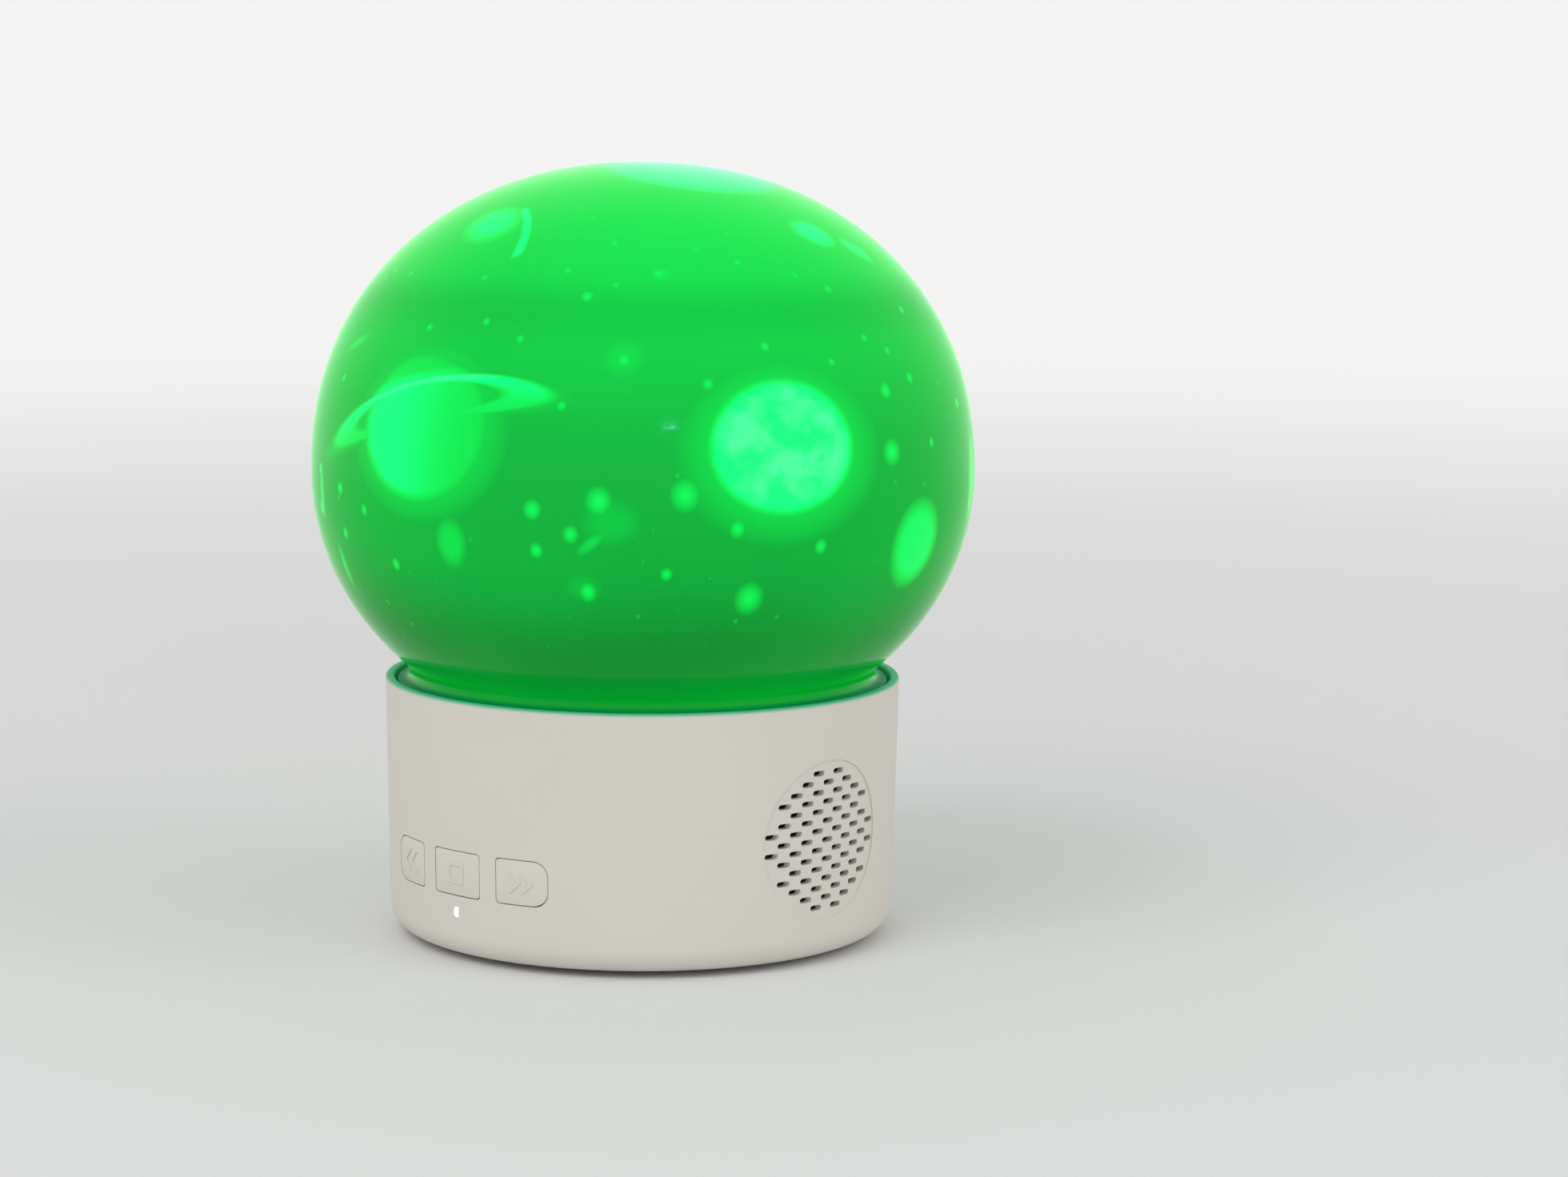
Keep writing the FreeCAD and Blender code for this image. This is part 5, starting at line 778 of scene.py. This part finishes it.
lamp_point = Vector((0, 0, 61.0)) * MM
dome_radius = 67.5
dome_middle = 95.5
dome_up = 61.9
dome_down = 56.6
power_up = 2.128
power_down = 2.036


def toward(azimuth, height):
    """The direction from the lamp at an azimuth and a height, in degrees."""
    a, h = math.radians(azimuth), math.radians(height)
    return Vector((math.cos(h) * math.cos(a), math.cos(h) * math.sin(a), math.sin(h)))


sky, sky_in, sky_out = new_group("cast_sky", {}, {"Light": "Float", "Patches": "Float"})
sky_ray = node(sky, "ShaderNodeVectorMath", {0: own_place(sky), 1: lamp_point}, operation="SUBTRACT")
sky_ray = node(sky, "ShaderNodeVectorMath", {0: sky_ray.outputs[0]}, operation="NORMALIZE").outputs[0]


def figure_place(azimuth, height, half_width, half_height, tilt=0.0):
    """The sky's place in a figure's own frame, in which the figure's edge is at a length of 1."""
    out = toward(azimuth, height)
    level = Vector((-math.sin(math.radians(azimuth)), math.cos(math.radians(azimuth)), 0))
    upright = out.cross(level)
    t = math.radians(tilt)
    along = math.cos(t) * level + math.sin(t) * upright
    across = math.cos(t) * upright - math.sin(t) * level
    axes = Matrix((along, across, out)).transposed()
    own = node(sky, "ShaderNodeMapping", {"Vector": sky_ray}, vector_type="TEXTURE")
    own.inputs["Location"].default_value = out
    own.inputs["Rotation"].default_value = axes.to_euler()
    own.inputs["Scale"].default_value = (half_width, half_height, 0.6)
    return own, length_of(sky, own)


def disc(azimuth, height, half_width, half_height, tilt=0.0, soft=0.3, light=0.8):
    """A soft-edged disc or oval; gives its light."""
    reach = figure_place(azimuth, height, half_width, half_height, tilt)[1]
    return ramp(sky, reach, 1 + soft, 1 - soft, 0.0, light)


def brightest(lights):
    total = lights[0]
    for item in lights[1:]:
        total = maths(sky, "MAXIMUM", total, item)
    return total


moon_own, moon_reach = figure_place(-21.4, 33.8, 0.196, 0.152)
moon = ramp(sky, moon_reach, 1.20, 0.84, 0.0, 0.96)
moon_halo = ramp(sky, moon_reach, 2.2, 0.8, 0.0, 0.62)
moon_marks = node(sky, "ShaderNodeTexNoise", {
    "Vector": moon_own, "Scale": 1.8, "Detail": 2.5, "Roughness": 0.5})
moon_white = ramp(sky, moon_marks.outputs["Fac"], 0.40, 0.64, 0.08, 1.0)
moon_white = maths(sky, "MULTIPLY", moon_white, ramp(sky, moon_reach, 0.98, 0.68))
planet_own, planet_reach = figure_place(-85.2, 35.5, 0.205, 0.170)
planet_side = parts_of(sky, planet_own)["X"]
planet = ramp(sky, planet_reach, 1.22, 0.80)
planet = maths(sky, "MULTIPLY", planet, ramp(sky, planet_side, -0.5, 1.0, 0.96, 0.70))
planet_halo = ramp(sky, planet_reach, 1.8, 0.9, 0.0, 0.56)
ring_own, ring_reach = figure_place(-86.4, 38.5, 0.342, 0.049, 12.4)
ring_up = parts_of(sky, ring_own)["Y"]
ring_off = maths(sky, "ABSOLUTE", maths(sky, "SUBTRACT", ring_reach, 0.84))
ring = ramp(sky, ring_off, 0.38, 0.08, 0.0, 0.97)
ring = maths(sky, "MULTIPLY", ring, ramp(sky, ring_up, -0.7, 0.7, 0.80, 1.0))
ring_glow = ramp(sky, ring_reach, 1.9, 0.9, 0.0, 0.54)
above_ring = maths(sky, "MULTIPLY", ramp(sky, ring_reach, 0.95, 1.6), ramp(sky, ring_up, 0.1, 0.8))
planet = maths(sky, "MULTIPLY", planet, ramp(sky, above_ring, 0.0, 1.0, 1.0, 0.78))
ring_white = maths(sky, "MULTIPLY", ramp(sky, ring_off, 0.22, 0.0, 0.0, 0.55), ramp(sky, ring_up, 0.5, 0.9))
ring_white = maths(sky, "MULTIPLY", ring_white, ramp(sky, planet_reach, 1.3, 0.9))
patches = maths(sky, "MAXIMUM", moon_white, ring_white)
arc_own, arc_reach = figure_place(-90.7, 61.1, 0.165, 0.109, -47.7)
arc_off = maths(sky, "ABSOLUTE", maths(sky, "SUBTRACT", arc_reach, 1.0))
arc_parts = parts_of(sky, arc_own)
arc_along = maths(sky, "ABSOLUTE", maths(sky, "SUBTRACT", arc_parts["X"], 0.15))
arc_shown = maths(sky, "MULTIPLY", ramp(sky, arc_parts["Y"], 0.1, 0.35), ramp(sky, arc_along, 0.72, 0.45))
arc = maths(sky, "MULTIPLY", ramp(sky, arc_off, 0.26, 0.02, 0.0, 0.98), arc_shown)
figures = [
    moon, moon_halo, planet, planet_halo, ring, ring_glow, arc,
    disc(8.3, 19.8, 0.112, 0.108, 25.0, 0.40, 0.86),
    disc(-91.0, 64.2, 0.100, 0.088, 0.0, 0.75, 0.94),
    disc(4.4, 62.7, 0.075, 0.058, -30.0, 0.7, 0.98),
    disc(15.9, 59.4, 0.068, 0.036, -50.0, 0.8, 0.92),
    disc(-78.4, 21.0, 0.055, 0.066, 0.0, 0.7, 0.66),
    disc(-110.5, 44.8, 0.085, 0.020, 24.0, 0.9, 0.70),
    disc(-53.5, 21.9, 0.055, 0.018, 34.0, 0.9, 0.62),
    disc(32.0, 27.0, 0.040, 0.11, 0.0, 0.6, 0.74),
    disc(-116.0, 25.0, 0.022, 0.070, 0.0, 0.8, 0.72),
    disc(-111.0, 15.0, 0.022, 0.070, 0.0, 0.8, 0.62),
    disc(-48.6, 45.0, 0.085, 0.070, 20.0, 0.9, 0.62),
    disc(-41.6, 56.3, 0.050, 0.040, 0.0, 0.9, 0.72),
    disc(-50.3, 24.7, 0.110, 0.075, 0.0, 0.9, 0.49),
    disc(-55.1, 15.7, 0.085, 0.055, 0.0, 0.9, 0.42),
    disc(95.0, 36.0, 0.15, 0.13, 0.0, 0.25, 0.90),
    disc(150.0, 30.0, 0.19, 0.15, 0.0, 0.3, 0.86),
    disc(150.0, 33.0, 0.34, 0.03, -14.0, 0.6, 0.94),
    disc(205.0, 22.0, 0.09, 0.09, 0.0, 0.5, 0.80),
    disc(60.0, 62.0, 0.08, 0.07, 0.0, 0.6, 0.85),
]
photo_width = 1960
photo_middle = (980.0, 735.5)
pixels_per_mm = 6.15
focal_pixels = photo_width * camera.data.lens / camera.data.sensor_width


def outside_dome(point):
    """Below 0 inside the dome's outer face and above 0 outside it."""
    up = point.z / MM - dome_middle
    power, reach = (power_up, dome_up) if up >= 0 else (power_down, dome_down)
    return (math.hypot(point.x, point.y) / MM / dome_radius) ** power + (abs(up) / reach) ** power - 1


def seen_at(across, down):
    """The dome's point at a place in the photograph, found by halving a stretch of the line of sight."""
    line = camera_turn @ Vector((
        (across - photo_middle[0]) / focal_pixels, (photo_middle[1] - down) / focal_pixels, -1))
    line.normalize()
    far = (Vector((0, 0, dome_middle * MM)) - camera_place).dot(line)
    near = far - 1.2 * dome_radius * MM
    for step in range(30):
        middle = (near + far) / 2
        if outside_dome(camera_place + line * middle) < 0:
            far = middle
        else:
            near = middle
    return camera_place + line * far


# Small stars read off the photograph: across, down and radius, in pixels.
star_spots = (
    (537, 409, 5), (608, 402, 5), (430, 472, 5), (401, 586, 6), (403, 634, 7.5), (425, 610, 6),
    (432, 666, 5), (455, 637, 5), (665, 637, 8), (670, 688, 6), (713, 668, 7), (702, 507, 5),
    (748, 627, 11.5), (956, 433, 6), (857, 619, 13), (922, 661, 7.5), (936, 749, 12),
    (1115, 565, 11), (1137, 472, 6), (1109, 438, 5), (1107, 488, 8), (1196, 503, 6), (885, 480, 6),
    (1026, 683, 6), (1080, 422, 5), (768, 304, 6), (742, 272, 5), (727, 260, 5.5), (710, 338, 6),
    (606, 347, 5), (514, 342, 5), (494, 338, 5), (734, 370, 7.5), (770, 356, 5), (823, 342, 8.5),
    (870, 311, 5), (909, 291, 5), (922, 328, 6.5), (994, 344, 5), (1035, 361, 6), (833, 718, 5),
    (780, 450, 8), (735, 740, 7.5),
)
# Small stars chosen freely, most of them on the far side: azimuth, height and size in thousandths.
free_stars = (
    (-10, 44, 9), (16, 50, 10), (-68, 47, 9), (12, 33, 9), (-92, 17, 12), (48, 30, 20), (55, 45, 12),
    (70, 20, 16), (78, 52, 11), (112, 22, 14), (120, 50, 18), (132, 15, 12), (176, 48, 16),
    (184, 30, 12), (188, 60, 14), (210, 42, 20), (222, 56, 12), (228, 30, 14), (100, 62, 12),
    (30, 55, 12), (165, 18, 14),
)
star_spread = 2.7
stars = [(toward(azimuth, height), size / 1000) for azimuth, height, size in free_stars]
for across, down, radius in star_spots:
    out = seen_at(across, down) - lamp_point
    stars.append((out.normalized(), radius / pixels_per_mm * MM / out.length))
for direction, size in stars:
    far = node(sky, "ShaderNodeVectorMath", {0: sky_ray, 1: direction}, operation="DISTANCE")
    star_light = min(0.76 + 5 * size, 0.86)
    figures.append(ramp(sky, far.outputs["Value"], size * star_spread, 0.0, 0.0, star_light))
for scale, size, light in ((10.5, 0.20, 0.62), (16.0, 0.16, 0.54)):
    field = node(sky, "ShaderNodeTexVoronoi", {"Vector": sky_ray, "Scale": scale, "Randomness": 1.0})
    figures.append(ramp(sky, field.outputs["Distance"], size, 0.0, 0.0, light))
cast_light = brightest(figures)
sky.links.new(cast_light.outputs[0], sky_out.inputs["Light"])
sky.links.new(patches.outputs[0], sky_out.inputs["Patches"])

film_inner = 29.7
film_outer = 30.1
film_low = 48.8
film_high = 102.4
film = turned("printed_roll", [
    (film_inner, film_low), (film_outer, film_low), (film_outer, film_high), (film_inner, film_high)], 160)
film_material, film_tree, film_shader = new_material("printed_film")
film_sky = node(film_tree, "ShaderNodeGroup", node_tree=sky)
film_clear = ramp(film_tree, film_sky.outputs["Light"], 0.5, 0.85)
film_colour = mixed(film_tree, film_clear, (0.012, 0.02, 0.035, 1), (0.55, 0.75, 0.62, 1))
# Painted light: the clear parts of the print glow green, standing in for the lamp's light shining through
# them.
film_glow = mixed(film_tree, film_clear, (0.0, 0.03, 0.01, 1), (0.05, 0.75, 0.25, 1))
film_dust = node(film_tree, "ShaderNodeTexNoise", {
    "Vector": own_place(film_tree), "Scale": 900.0, "Detail": 2.0})
film_rough = ramp(film_tree, film_dust.outputs["Fac"], 0.3, 0.7, 0.16, 0.3)
film_tree.links.new(film_colour, film_shader.inputs["Base Color"])
film_tree.links.new(film_glow, film_shader.inputs["Emission Color"])
film_tree.links.new(film_rough.outputs[0], film_shader.inputs["Roughness"])
film_shader.inputs["Emission Strength"].default_value = 1.0
film.data.materials.append(film_material)
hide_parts("film_side")
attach(film, "film_roll")
dress(deck_material, "film_cap")
dress(film_material, "film_top")

# Shade: one milky glossy shell, a flattened dome that narrows to a waist and ends in a flange
# that lies on the deck's ledge. The lamp's light through the film falls on it from inside.

shade_wall = 1.6
flange_top = 52.4
flange_under = 50.6


def dome_outline(lowest, inset, count):
    """The dome's half outline from a height up to the axis, set in from the outside by an inset."""
    start = -math.asin(((dome_middle - lowest) / (dome_down - inset)) ** (power_down / 2))
    points = []
    for step in range(count + 1):
        angle = start + (math.pi / 2 - start) * step / count
        power, reach = (power_up, dome_up) if angle >= 0 else (power_down, dome_down)
        across = (dome_radius - inset) * max(math.cos(angle), 0) ** (2 / power)
        up = (reach - inset) * math.copysign(abs(math.sin(angle)) ** (2 / power), angle)
        points.append((0 if step == count else across, dome_middle + up))
    return points


outer = dome_outline(55.7, 0, 56)
inner = dome_outline(54.8, shade_wall, 40)
outline = [(inner[0][0], flange_under), (49.9, flange_under), (50.2, flange_under + 0.3)]
outline += bend(49.7, 51.9, 0.5, 0, 90, 4)
outline += bend(49.5, 54.3, 1.9, 270, 150, 8)
outline += outer + inner[::-1]
shade = turned("milky_shade", outline, 224)

# Painted light and shadow on the shade by height: brightest at the top, darker towards the bottom, and a
# dip at 131 mm that is the film cap's painted shadow.
painted_light_levels = (
    (55, 0.28), (59, 0.19), (66, 0.17), (74, 0.27), (84, 0.36), (104, 0.38), (115, 0.45), (125, 0.54),
    (131, 0.41), (137, 0.63), (155, 0.72))
lowest_level = painted_light_levels[0][0]
highest_level = painted_light_levels[-1][0]
shade_material, shade_tree, shade_shader = new_material("milky_dome")
shade_sky = node(shade_tree, "ShaderNodeGroup", node_tree=sky)
shade_place = own_place(shade_tree)
height = parts_of(shade_tree, shade_place)["Z"]
height_share = ramp(shade_tree, height, lowest_level * MM, highest_level * MM, smooth=False)
level = node(shade_tree, "ShaderNodeValToRGB", {"Fac": height_share})
level.color_ramp.interpolation = "B_SPLINE"
for number, (at, amount) in enumerate(painted_light_levels):
    position = (at - lowest_level) / (highest_level - lowest_level)
    if number < 2:
        stop = level.color_ramp.elements[number]
        stop.position = position
    else:
        stop = level.color_ramp.elements.new(position)
    stop.color = (amount, amount, amount, 1)
level = level.outputs["Color"]
drift = node(shade_tree, "ShaderNodeTexNoise", {"Vector": shade_place, "Scale": 17.0, "Detail": 1.0})
level = maths(shade_tree, "ADD", level, ramp(shade_tree, drift.outputs["Fac"], 0.3, 0.7, -0.025, 0.025))
top_own = node(shade_tree, "ShaderNodeMapping", {"Vector": shade_place}, vector_type="TEXTURE")
top_own.inputs["Location"].default_value = (12.6 * MM, -0.1 * MM, 155 * MM)
top_own.inputs["Scale"].default_value = (21 * MM, 21 * MM, 60 * MM)
top_reach = length_of(shade_tree, top_own)
top_light = ramp(shade_tree, top_reach, 1.15, 0.7, 0.0, 0.97)
top_patch = ramp(shade_tree, top_reach, 0.95, 0.35, 0.0, 0.7)
cast = maths(shade_tree, "MAXIMUM", shade_sky.outputs["Light"], top_light)
# Painted shade: the cast figures are dimmed towards the bottom of the dome.
painted_low_dimming = ramp(shade_tree, height, 60 * MM, 80 * MM, 0.3, 1.0)
cast = maths(shade_tree, "MULTIPLY", cast, painted_low_dimming)
amount = maths(shade_tree, "MAXIMUM", level, cast)
amount = maths(shade_tree, "ADD", amount, maths(shade_tree, "MULTIPLY", level, 0.04))
colours = node(shade_tree, "ShaderNodeValToRGB", {"Fac": amount})
stops = colours.color_ramp.elements
stops[0].position = 0.0
stops[0].color = (0.0, 0.0, 0.0, 1)
stops[1].position = 1.0
stops[1].color = (0.0, 0.96, 0.23, 1)
for green, blue in ((0.2, 0.004), (0.4, 0.022), (0.6, 0.038), (0.75, 0.052), (0.85, 0.09), (0.94, 0.17)):
    stop = stops.new(green)
    stop.color = (0.0, green, blue, 1)
white_part = maths(shade_tree, "MAXIMUM", shade_sky.outputs["Patches"], top_patch)
glow = mixed(shade_tree, white_part, colours.outputs["Color"], (0.075, 0.95, 0.33, 1))
# Painted shade: the flange glows only a dim teal, as less of the lamp's light is painted there.
flange_part = ramp(shade_tree, height, 53.6 * MM, flange_top * MM)
glow = mixed(shade_tree, flange_part, glow, (0.0, 0.09, 0.035, 1))
shade_tree.links.new(glow, shade_shader.inputs["Emission Color"])
shade_shader.inputs["Emission Strength"].default_value = 1.0
shade_grain = node(shade_tree, "ShaderNodeGroup", node_tree=grain)
shade_grain.inputs["Colour"].default_value = (0.003, 0.10, 0.03, 1)
shade_grain.inputs["Grain"].default_value = 600.0
shade_grain.inputs["Mottle"].default_value = 0.03
shade_grain.inputs["Roughness"].default_value = 0.11
shade_tree.links.new(shade_grain.outputs["Colour"], shade_shader.inputs["Base Color"])
flange_rough = maths(shade_tree, "MULTIPLY", flange_part, 0.4)
shade_rough = maths(shade_tree, "ADD", shade_grain.outputs["Roughness"], flange_rough)
shade_tree.links.new(shade_rough.outputs[0], shade_shader.inputs["Roughness"])
shade_shader.inputs["IOR"].default_value = 1.3
shade_shader.inputs["Specular IOR Level"].default_value = 0.22
shade.data.materials.append(shade_material)
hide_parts("shade")
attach(shade, "shade")
